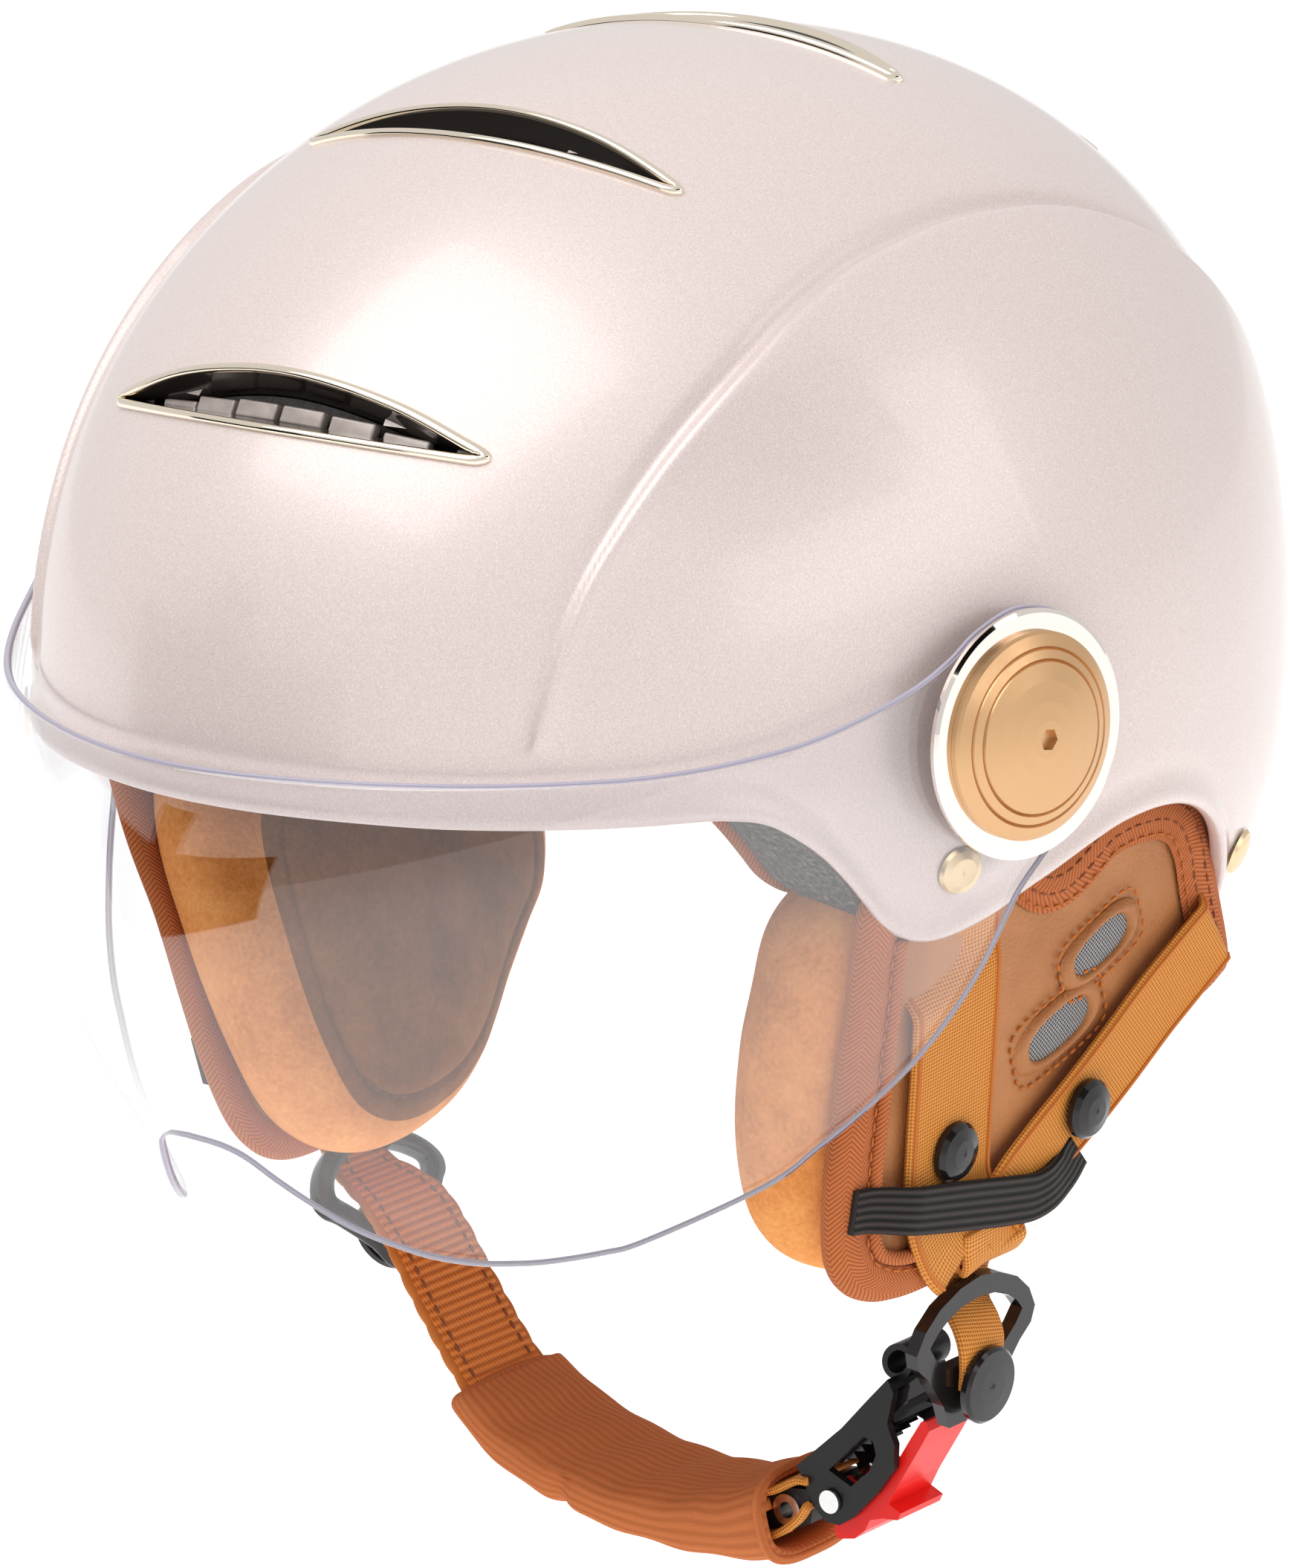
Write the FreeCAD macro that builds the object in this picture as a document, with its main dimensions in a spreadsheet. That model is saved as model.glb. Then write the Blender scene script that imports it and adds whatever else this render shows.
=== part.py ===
import FreeCAD, Part
import Sketcher
import math
import os
from FreeCAD import Vector, Placement, Rotation

# Open face helmet. Millimetres, +Z up, -Y is the front, +X the wearer's left.
# The origin lies on the symmetry plane, level with the visor pivots.

doc = FreeCAD.newDocument("OpenFaceHelmet")
sheet = doc.addObject("Spreadsheet::Sheet", "Dims")

DIMS = [
    ("shell_half_width", 121.0, "half width of the outer shell"),
    ("shell_front_reach", 158.181, "front reach from the shell centre"),
    ("shell_back_reach", 127.991, "back reach from the shell centre"),
    ("shell_crown_height", 128.115, "crown above the shell centre"),
    ("shell_low_depth", 90.128, "depth below the shell centre"),
    ("shell_centre_y", 46.525, "shell centre, forward and back"),
    ("shell_centre_z", -6.328, "shell centre, height"),
    ("shell_wall", 4.0, "outer shell wall"),
    ("liner_depth", 32.0, "impact liner, depth of its inner face"),
    ("comfort_depth", 40.0, "comfort liner, depth of its inner face"),
    ("layer_gap", 0.3, "gap between layers"),
    ("pivot_y", -3.0, "visor axis, forward and back"),
    ("pivot_z", 1.0, "visor axis, height"),
    ("visor_half_width", 122.05, "visor section half width at the axis"),
    ("visor_front_reach", 131.5, "visor section front reach at the axis"),
    ("visor_thickness", 1.6, "visor sheet"),
    ("visor_hole_radius", 12.4, "hole in the visor ear"),
    ("visor_ear_radius", 24.6, "visor ear"),
    ("pivot_radius", 4.0, "pivot post"),
    ("pivot_bore_radius", 4.06, "bore on the pivot post"),
    ("pivot_flange_radius", 5.6, "pivot post head"),
    ("pivot_length", 19.3, "pivot post from the nut to the head"),
    ("pivot_head_height", 1.0, "pivot post head height"),
    ("washer_radius", 9.0, "pivot washer"),
    ("washer_height", 3.75, "pivot washer height"),
    ("nut_radius", 8.0, "pivot nut flange"),
    ("nut_flange_height", 2.2, "pivot nut flange height"),
    ("nut_sleeve_radius", 5.4, "pivot nut sleeve"),
    ("nut_sleeve_height", 4.4, "pivot nut sleeve top"),
    ("side_ring_radius", 25.0, "chrome side ring"),
    ("side_ring_height", 1.4, "side ring plate"),
    ("side_ring_hub_radius", 8.0, "side ring hub"),
    ("side_ring_hub_height", 0.9, "side ring hub below the plate"),
    ("cap_radius", 20.85, "pivot cap"),
    ("cap_rim_height", 1.7, "pivot cap rim"),
    ("cap_rise", 4.0, "pivot cap crown above its rim"),
    ("cap_groove_out", 17.7, "outer groove of the cap"),
    ("cap_groove_in", 15.4, "inner groove of the cap"),
    ("cap_groove_depth", 0.5, "groove depth"),
    ("cap_recess_radius", 8.0, "recess under the cap"),
    ("cap_recess_height", 3.6, "recess height"),
    ("hex_across_flats", 4.0, "hex socket of the cap"),
    ("hex_depth", 1.6, "hex socket depth"),
    ("rivet_head_radius", 5.0, "strap rivet head"),
    ("rivet_head_height", 1.7, "strap rivet head height"),
    ("rivet_shank_radius", 2.2, "strap rivet shank"),
    ("rivet_grip", 7.4, "strap rivet grip"),
    ("rivet_tail_radius", 4.6, "strap rivet tail"),
    ("rivet_tail_height", 1.2, "strap rivet tail height"),
    ("snap_radius", 6.3, "strap snap button"),
    ("snap_height", 3.2, "strap snap button height"),
    ("strap_width", 24.5, "harness webbing"),
    ("strap_thickness", 1.7, "harness webbing thickness"),
    ("elastic_width", 8.6, "elastic band"),
    ("elastic_thickness", 1.1, "elastic band thickness"),
    ("strap_plane_y", 15.0, "chin strap, forward and back"),
    ("buckle_x", 63.7, "lever pin, sideways"),
    ("buckle_z", -173.5, "lever pin, height"),
    ("buckle_angle", 45.0, "tongue direction above the horizontal"),
    ("receiver_half_width", 9.4, "buckle receiver, half width"),
    ("receiver_cheek", 1.8, "receiver cheek"),
    ("receiver_floor", 2.0, "receiver floor"),
    ("pin_radius", 1.6, "lever pin"),
    ("pin_bore_radius", 1.66, "bore of the lever on its pin"),
    ("lever_half_width", 7.2, "buckle lever, half width"),
    ("tongue_half_width", 6.6, "buckle tongue, half width"),
    ("tongue_thickness", 2.6, "buckle tongue"),
    ("tooth_height", 1.5, "ratchet tooth"),
    ("tooth_pitch", 2.8, "ratchet pitch"),
    ("loop_thickness", 3.0, "strap ring"),
    ("loop_cap_radius", 8.2, "strap ring cap"),
    ("loop_cap_height", 3.2, "strap ring cap height"),
    ("eyelet_radius", 2.6, "bracket eyelet"),
    ("eyelet_wall", 0.8, "bracket eyelet wall"),
    ("bracket_half_width", 8.6, "strap bracket, half width"),
]
D = {}
for row, (alias, value, note) in enumerate(DIMS, start=1):
    sheet.set("A%d" % row, alias)
    sheet.set("B%d" % row, "%.4f" % value)
    sheet.set("C%d" % row, note)
    sheet.setAlias("B%d" % row, alias)
    D[alias] = value
doc.recompute()

NODES = []


def keep(obj, label):
    obj.Label = label
    NODES.append((label, obj))
    return obj


def q(alias):
    """A cell's number with the expression that reads it."""
    return (D[alias], "Dims." + alias)


def num(value):
    return (float(value), None)


def plus(*terms):
    total = 0.0
    parts = []
    for term in terms:
        total += term[0]
        parts.append(term[1] if term[1] else "%.4f" % term[0])
    return (total, " + ".join(parts))


def minus(a, b):
    right = b[1] if b[1] else "%.4f" % b[0]
    left = a[1] if a[1] else "%.4f" % a[0]
    return (a[0] - b[0], "%s - (%s)" % (left, right))


def neg(a):
    return (-a[0], "-(%s)" % (a[1] if a[1] else "%.4f" % a[0]))


def origin_plane(body, role):
    for feature in body.Origin.OriginFeatures:
        if feature.Role == role:
            return feature
    return None


def new_body(name):
    return doc.addObject("PartDesign::Body", name)


def new_sketch(body, role, name, offset=0.0):
    sk = body.newObject("Sketcher::SketchObject", name)
    sk.AttachmentSupport = [(origin_plane(body, role), "")]
    sk.MapMode = "FlatFace"
    if offset:
        sk.AttachmentOffset = Placement(Vector(0, 0, offset), Rotation())
    return sk


def bind_point(sk, index, x, y):
    """Hold the start point of one edge at (x, y) by dimensions."""
    for kind, axis, val in (("DistanceX", -2, x), ("DistanceY", -1, y)):
        if abs(val[0]) < 1e-9:
            sk.addConstraint(Part_PointOnObject(index, axis))
            continue
        if val[0] > 0:
            c = Sketcher.Constraint(kind, -1, 1, index, 1, val[0])
        else:
            c = Sketcher.Constraint(kind, index, 1, -1, 1, -val[0])
        n = sk.addConstraint(c)
        if val[1]:
            text = val[1] if val[0] > 0 else "-(%s)" % val[1]
            sk.setExpression("Constraints[%d]" % n, text)


def Part_PointOnObject(index, axis):
    return Sketcher.Constraint("PointOnObject", index, 1, axis)


def polygon(sk, points):
    """Closed outline of straight edges, each corner dimensioned."""
    first = sk.GeometryCount
    count = len(points)
    for i in range(count):
        a, b = points[i], points[(i + 1) % count]
        sk.addGeometry(Part.LineSegment(Vector(a[0][0], a[1][0], 0), Vector(b[0][0], b[1][0], 0)), False)
    for i in range(count):
        sk.addConstraint(Sketcher.Constraint("Coincident", first + i, 2, first + (i + 1) % count, 1))
    for i in range(count):
        bind_point(sk, first + i, points[i][0], points[i][1])


def circle(sk, x, y, radius):
    n = sk.addGeometry(Part.Circle(Vector(x[0], y[0], 0), Vector(0, 0, 1), radius[0]), False)
    c = sk.addConstraint(Sketcher.Constraint("Radius", n, radius[0]))
    if radius[1]:
        sk.setExpression("Constraints[%d]" % c, radius[1])
    for kind, axis, val in (("DistanceX", -2, x), ("DistanceY", -1, y)):
        if abs(val[0]) < 1e-9:
            sk.addConstraint(Sketcher.Constraint("PointOnObject", n, 3, axis))
            continue
        if val[0] > 0:
            k = sk.addConstraint(Sketcher.Constraint(kind, -1, 1, n, 3, val[0]))
        else:
            k = sk.addConstraint(Sketcher.Constraint(kind, n, 3, -1, 1, -val[0]))
        if val[1]:
            sk.setExpression("Constraints[%d]" % k, val[1] if val[0] > 0 else "-(%s)" % val[1])


def add_pad(body, sk, length, symmetric=False, reverse=False):
    pad = body.newObject("PartDesign::Pad", body.Name + "_Pad")
    pad.Profile = sk
    pad.Length = length[0]
    if length[1]:
        pad.setExpression("Length", length[1])
    pad.Midplane = symmetric
    pad.Reversed = reverse
    sk.Visibility = False
    body.Tip = pad
    return pad


def add_pocket(body, sk, length, symmetric=False, reverse=False, through=False):
    cut = body.newObject("PartDesign::Pocket", body.Name + "_Pocket")
    cut.Profile = sk
    if through:
        cut.Type = 1
    else:
        cut.Length = length[0]
        if length[1]:
            cut.setExpression("Length", length[1])
    cut.Midplane = symmetric
    cut.Reversed = reverse
    sk.Visibility = False
    body.Tip = cut
    return cut


def turned(name, profile):
    """Body turned about its own Z axis from a half section of (r, z) corners."""
    body = new_body(name)
    sk = new_sketch(body, "XZ_Plane", name + "_Section")
    polygon(sk, profile)
    rev = body.newObject("PartDesign::Revolution", name + "_Turn")
    rev.Profile = sk
    rev.ReferenceAxis = (sk, ["V_Axis"])
    rev.Angle = 360.0
    sk.Visibility = False
    body.Tip = rev
    return body



# ---------------------------------------------------------------- shell form

TAU = math.radians(-4.064)
SHELL_C = Vector(0, D["shell_centre_y"], D["shell_centre_z"])


def shell_reach(dx, dy, dz):
    """Distance from the shell centre to the shell's outer face along a unit direction."""
    c, s = math.cos(TAU), math.sin(TAU)
    x = dx
    y = dy * c + dz * s
    z = -dy * s + dz * c
    front, back = D["shell_front_reach"], D["shell_back_reach"]
    top, low = D["shell_crown_height"], D["shell_low_depth"]
    b = (front + back) / 2 + (back - front) / 2 * y
    h = (top + low) / 2 + (top - low) / 2 * z
    a = D["shell_half_width"] * (1 - 0.036 * y + 0.044 * z * z)
    e = (abs(x / a) ** 1.975 + abs(y / b) ** 1.975) ** (2.256 / 1.975) + abs(z / h) ** 2.256
    return e ** (-1 / 2.256)


def shell_point(direction, depth=0.0):
    d = Vector(direction)
    d.normalize()
    r = shell_reach(d.x, d.y, d.z) - depth
    return SHELL_C + d * r


def shell_x(y, z, depth=0.0):
    """Outer x of the shell form at a given y and z."""
    lo, hi = 0.0, 160.0
    for _ in range(50):
        mid = (lo + hi) / 2
        v = Vector(mid, y, z) - SHELL_C
        n = v.Length
        if n < shell_reach(v.x / n, v.y / n, v.z / n) - depth:
            lo = mid
        else:
            hi = mid
    return (lo + hi) / 2


def dome_face(depth, n=25, reach=140.0):
    grid = []
    for i in range(n):
        row = []
        for j in range(n):
            p, r = -1 + 2.0 * i / (n - 1), -1 + 2.0 * j / (n - 1)
            a, b = p * math.sqrt(1 - 0.4 * r * r), r * math.sqrt(1 - 0.4 * p * p)
            rho = math.hypot(a, b)
            polar = math.radians(reach) * rho
            turn = math.atan2(b, a)
            d = Vector(math.sin(polar) * math.cos(turn), math.sin(polar) * math.sin(turn), math.cos(polar))
            row.append(shell_point(d, depth))
        grid.append(row)
    surface = Part.BSplineSurface()
    surface.interpolate(grid)
    return surface.toShape()


DOMES = {}


def dome(depth):
    """Solid inside the shell form, sunk by depth, down to a flat cut below the helmet."""
    key = round(depth, 3)
    if key not in DOMES:
        floor = -76 + (0.8 * depth if depth > 10 else 0)
        box = Part.makeBox(320, 340, 225, Vector(-160, -140, floor))
        pieces, _ = box.generalFuse([dome_face(depth, reach=140.0 + max(0.0, depth) * 0.3)])
        inner = [s for s in pieces.Solids if s.isInside(Vector(0, 46, 20), 0.01, False)]
        DOMES[key] = inner[0]
    return DOMES[key].copy()


def spline_edge(points, periodic=False):
    curve = Part.BSplineCurve()
    curve.interpolate(points, PeriodicFlag=periodic)
    return curve.toShape()


def below(edge_yz, drop=0.0):
    """Everything below a side profile, across the whole width."""
    pts = [Vector(-165, y, z + drop) for y, z in edge_yz]
    top = spline_edge(pts)
    a, b = pts[0], pts[-1]
    low = -140
    wire = Part.Wire([
        top,
        Part.LineSegment(b, Vector(-165, b.y, low)).toShape(),
        Part.LineSegment(Vector(-165, b.y, low), Vector(-165, a.y, low)).toShape(),
        Part.LineSegment(Vector(-165, a.y, low), a).toShape(),
    ])
    return Part.Face(wire).extrude(Vector(330, 0, 0))


SHELL_EDGE = [(-150, -5.2), (-111.6, -5.6), (-95, -6.6), (-75, -7.1), (-62, -7.1), (-57.9, -7.4), (-51.8, -8.8),
              (-46.6, -12.1), (-41.1, -16.9), (-35.8, -22.9), (-30.6, -29.4), (-26.8, -33.9), (-22.2, -37.3),
              (-17, -39.2), (-12.2, -39.3), (-6.1, -37.8), (-0.4, -35.6), (4.9, -32.8), (12.8, -29.6),
              (21.7, -26.2), (31.5, -23.6), (42.8, -23), (53.1, -24.6), (62.3, -28.5), (70.9, -35.2),
              (79.3, -45.9), (86, -56), (95, -63), (108, -66.5), (130, -68), (200, -68)]
LINER_EDGE = [(-150, -2.6), (-111.6, -2.8), (-80, -3.4), (-50, -4), (-20, -5), (20, -5), (60, -6), (82, -10),
              (92, -24), (102, -36), (118, -41), (140, -42), (200, -42)]
COMFORT_EDGE = [(-150, -5.2), (-111.6, -5.4), (-80, -6), (-50, -6.4), (-20, -6.6), (20, -6.6), (60, -8), (78, -12),
                (88, -24), (98, -34), (114, -40), (140, -42), (200, -42)]

# ---------------------------------------------------------------- vents

VENTS = [("front", 151.7, 48.5, 10.2, 3.8), ("upper", 120.2, 48.5, 9.6, 3.6),
         ("crown", 85.5, 47.0, 9.0, 3.4), ("rear", 50.0, 45.0, 9.0, 3.4)]


def vent_frame(angle):
    t = math.radians(angle)
    normal = Vector(0, math.cos(t), math.sin(t))
    up = Vector(0, math.sin(t), -math.cos(t)) * (1 if angle > 90 else 1)
    if angle > 90:
        up = Vector(0, math.sin(t), -math.cos(t))
    return normal, up


def vent_prism(angle, half, rise, fall, inset, lo, hi):
    """Prism of the vent outline along the local normal, between two reaches from the shell centre."""
    normal, up = vent_frame(angle)
    h, r, f = half - inset, rise - inset, fall - inset
    outline = [(-h, 0.6), (-h * 0.93, 3.0 - inset * 0.3), (-h * 0.62, r * 0.66 + 0.4), (-h * 0.3, r * 0.92), (0, r), (h * 0.3, r * 0.92),
               (h * 0.62, r * 0.66 + 0.4), (h * 0.93, 3.0 - inset * 0.3), (h, 0.6), (h * 0.93, -1.6 + inset * 0.5),
               (h * 0.5, -f * 0.82), (0, -f), (-h * 0.5, -f * 0.82), (-h * 0.93, -1.6 + inset * 0.5)]
    pts = [SHELL_C + normal * lo + Vector(1, 0, 0) * x + up * y for x, y in outline]
    wire = Part.Wire([spline_edge(pts, periodic=True)])
    return Part.Face(wire).extrude(normal * (hi - lo))


proud = dome(-2.2)
skin = dome(-0.06)
outer = dome(0.0)
inner = dome(D["shell_wall"])

shell = outer.cut(inner).cut(below(SHELL_EDGE))
liner = dome(D["shell_wall"] + D["layer_gap"]).cut(dome(D["liner_depth"])).cut(below(LINER_EDGE))
comfort = dome(D["liner_depth"] + D["layer_gap"]).cut(dome(D["comfort_depth"])).cut(below(COMFORT_EDGE))

bezels = {}
for name, angle, half, rise, fall in VENTS:
    mouth = vent_prism(angle, half, rise, fall, 1.6, 60, 175)
    shell = shell.cut(mouth)
    liner = liner.cut(vent_prism(angle, half, rise, fall, 3.4, 70, 175))
    flange = vent_prism(angle, half, rise, fall, 0.0, 60, 175).common(proud).cut(skin)
    neck = vent_prism(angle, half, rise, fall, 1.75, 60, 175).common(dome(-1.0)).cut(dome(D["shell_wall"] + 0.15))
    throat = vent_prism(angle, half, rise, fall, 3.1, 60, 175)
    bezels[name] = flange.fuse(neck).cut(throat).removeSplitter()

# front vent grille: a thin backing plate with upright ribs, held behind the front vent
normal, up = vent_frame(VENTS[0][1])
grille_zone = vent_prism(VENTS[0][1], 48.5, 10.2, 3.8, 3.7, 60, 175)
grille = grille_zone.common(dome(D["shell_wall"] - 1.0)).cut(dome(D["shell_wall"] + 0.8))
ribs = []
for i in range(-4, 5):
    base = SHELL_C + normal * 60 + Vector(i * 9.4 - 0.8, 0, 0) - up * 12
    rib = Part.makePolygon([base, base + Vector(1.6, 0, 0), base + Vector(1.6, 0, 0) + up * 30, base + up * 30, base])
    ribs.append(Part.Face(rib).extrude(normal * 115))
rib_solid = ribs[0].multiFuse(ribs[1:]).common(grille_zone).common(dome(1.2)).cut(dome(D["shell_wall"] + 0.4))
grille = grille.fuse(rib_solid).removeSplitter()

# ---------------------------------------------------------------- visor sheet

VY = 13.0


def visor_section(z):
    k = z / 100.0
    reach = D["visor_front_reach"] - 54.296 * k - 100.262 * k * k - 27.167 * k ** 3
    half = D["visor_half_width"] - 1.863 * k - 9.777 * k * k
    return reach, half, 1.796 + 0.463 * k


def visor_point(turn, z):
    reach, half, p = visor_section(z)
    c, s = math.cos(turn), math.sin(turn)
    r = (abs(c / reach) ** p + abs(s / half) ** p) ** (-1 / p)
    return Vector(r * s, VY - r * c, z)


def visor_normal(turn, z):
    e = 1e-3
    a = visor_point(turn + e, z) - visor_point(turn - e, z)
    b = visor_point(turn, z + 0.05) - visor_point(turn, z - 0.05)
    n = a.cross(b)
    n.normalize()
    return n


def visor_face(offset):
    grid = []
    for i in range(49):
        turn = math.radians(-108 + 216.0 * i / 48)
        row = []
        for j in range(17):
            z = -112 + 142.0 * j / 16
            row.append(visor_point(turn, z) + visor_normal(turn, z) * offset)
        grid.append(row)
    s = Part.BSplineSurface()
    s.interpolate(grid)
    return s.toShape()


def edges_by_side(face):
    """Boundary edges of a four-sided patch, paired later by nearest middle points."""
    return face.OuterWire.Edges


def thick_patch(a, b):
    walls = []
    for ea in a.OuterWire.Edges:
        ma = ea.valueAt((ea.FirstParameter + ea.LastParameter) / 2)
        eb = min(b.OuterWire.Edges, key=lambda e: (e.valueAt((e.FirstParameter + e.LastParameter) / 2) - ma).Length)
        walls.append(Part.makeRuledSurface(ea, eb))
    body = Part.makeShell([a, b] + walls)
    body.sewShape()
    solid = Part.makeSolid(body)
    if solid.Volume < 0:
        solid.reverse()
    return solid


half_t = D["visor_thickness"] / 2
sheet_solid = thick_patch(visor_face(half_t), visor_face(-half_t))

PY, PZ = D["pivot_y"], D["pivot_z"]
ER = D["visor_ear_radius"]
top_edge = [(-150, 1.6), (-118, 1.5), (-97.6, 1.4), (-83.1, 1.6), (-75.5, 1.9), (-67.3, 2.7), (-58.5, 4), (-49, 5.9), (-38.6, 9.2),
            (-27.4, 13.6), (-19.3, 18.0), (-12.6, 22.6)]
low_edge = [(-5.9, -35.9), (-8.8, -41.7), (-12.7, -48.8), (-17.6, -56.6), (-22.6, -63.8), (-27.3, -69.6),
            (-31.6, -74.9), (-36.1, -80.3), (-42.2, -88.1), (-47.8, -93.2), (-53.1, -98), (-60, -105), (-66, -118)]
ear = []
for deg in (62, 35, 5, -25, -55):
    t = math.radians(deg)
    ear.append((PY + ER * math.cos(t), PZ + ER * math.sin(t)))
rim = [(-150, 1.6)] + top_edge[1:] + [(PY - 0.5, PZ + ER)] + ear + [(1.0, -26.6), (-2.6, -30.6)] + low_edge
pts = [Vector(-150, y, z) for y, z in rim]
side_wire = Part.Wire([spline_edge(pts), Part.makePolygon([pts[-1], Vector(-150, -150, -118), pts[0]])])
side_keep = Part.Face(side_wire).extrude(Vector(300, 0, 0))

front_low = [(0, -73.3), (4.2, -73.9), (7.6, -75.0), (10.9, -77.4), (14.6, -82.6), (18.6, -88.0), (23.0, -93.5), (27.7, -97.8),
             (32.9, -101.6), (38.7, -103.9), (43.9, -104.5), (49.9, -104.2), (59.1, -102.3), (66.0, -99.8)]
right = [Vector(x, -150, z) for x, z in front_low]
left = [Vector(-x, -150, z) for x, z in reversed(front_low[1:])]
chain = left + right
front_wire = Part.Wire([spline_edge(chain), Part.makePolygon([chain[-1], Vector(100, -150, -115), Vector(170, -150, -115), Vector(170, -150, 60),
                                                              Vector(-170, -150, 60), Vector(-170, -150, -115), Vector(-100, -150, -115), chain[0]])])
front_keep = Part.Face(front_wire).extrude(Vector(0, 190, 0))
visor = sheet_solid.common(side_keep).common(front_keep)
visor = visor.cut(Part.makeCylinder(D["visor_hole_radius"], 320, Vector(-160, PY, PZ), Vector(1, 0, 0)))

# ---------------------------------------------------------------- pivots

reach0, half0, p0 = visor_section(PZ)
turn0 = math.radians(90)
lo_t, hi_t = math.radians(60), math.radians(110)
for _ in range(60):
    mid_t = (lo_t + hi_t) / 2
    if visor_point(mid_t, PZ).y < PY:
        lo_t = mid_t
    else:
        hi_t = mid_t
pivot_on_visor = visor_point(mid_t, PZ)
tilt = visor_normal(mid_t, PZ)
if tilt.x < 0:
    tilt = tilt * -1
visor_out = pivot_on_visor + tilt * half_t
VISOR_X = visor_out.x
SEAT_X = 118.3
SHELL_X = shell_x(PY, PZ)
SPOT_X = SHELL_X - 0.9
WASHER_TOP = VISOR_X - D["visor_thickness"] - 1.0
NUT_X = SHELL_X - D["shell_wall"] - 5.2

for side in (1, -1):
    seat = Part.makeCylinder(28.5, 20, Vector(side * SEAT_X, PY, PZ), Vector(side, 0, 0))
    spot = Part.makeCylinder(D["washer_radius"] + 0.5, 20, Vector(side * SPOT_X, PY, PZ), Vector(side, 0, 0))
    bore = Part.makeCylinder(D["nut_sleeve_radius"] + 0.1, 20, Vector(side * (SHELL_X - 12), PY, PZ), Vector(side, 0, 0))
    shell = shell.cut(seat).cut(spot).cut(bore)
    pocket = Part.makeCylinder(D["nut_radius"] + 0.6, 30, Vector(side * (NUT_X - 1.0), PY, PZ), Vector(side, 0, 0))
    liner = liner.cut(pocket)

# strap rivets: outside face point, direction outward
RIVETS = [(-11.6, -26.3), (88.0, -46.0)]


def outward(y, z):
    e = 1.5
    a = Vector(shell_x(y + e, z) - shell_x(y - e, z), 2 * e, 0)
    b = Vector(shell_x(y, z + e) - shell_x(y, z - e), 0, 2 * e)
    n = a.cross(b)
    n.normalize()
    return n if n.x > 0 else n * -1


rivet_spots = []
for y, z in RIVETS:
    p = Vector(shell_x(y, z), y, z)
    rivet_spots.append((p, outward(y, z)))


def mirror(v, side):
    return Vector(v.x * side, v.y, v.z)


for side in (1, -1):
    for p, n in rivet_spots:
        hole = Part.makeCylinder(D["rivet_shank_radius"] + 0.05, 30, mirror(p - n * 20, side), mirror(n, side))
        shell = shell.cut(hole)
        room = Part.makeCylinder(17.5, 12.5, mirror(p - n * 16, side), mirror(n, side))
        liner = liner.cut(room)
    # clearance for the end of the pivot post
    post_end = VISOR_X + 0.1 + D["side_ring_height"] + 1.25 - D["pivot_length"]
    liner = liner.cut(Part.makeCylinder(D["pivot_radius"] + 0.8, 20, Vector(side * (post_end - 1.2), PY, PZ), Vector(side, 0, 0)))

keep(doc.addObject("Part::Feature", "OuterShell"), "outer_shell").Shape = shell
keep(doc.addObject("Part::Feature", "ImpactLiner"), "impact_liner").Shape = liner
keep(doc.addObject("Part::Feature", "ComfortLiner"), "comfort_liner").Shape = comfort
for name, angle, half, rise, fall in VENTS:
    keep(doc.addObject("Part::Feature", "VentBezel_" + name), "vent_bezel_" + name).Shape = bezels[name]
keep(doc.addObject("Part::Feature", "VentGrille"), "vent_grille_front").Shape = grille
keep(doc.addObject("Part::Feature", "Visor"), "visor").Shape = visor

# neck roll, inside the back of the shell below the impact liner
roll = dome(D["shell_wall"] + 0.5).cut(Part.makeCylinder(76, 80, Vector(0, 58, -100), Vector(0, 0, 1)))
roll = roll.common(Part.makeBox(240, 120, 21.0, Vector(-120, 99, -66.0)))
keep(doc.addObject("Part::Feature", "NeckRoll"), "neck_roll").Shape = roll

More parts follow.
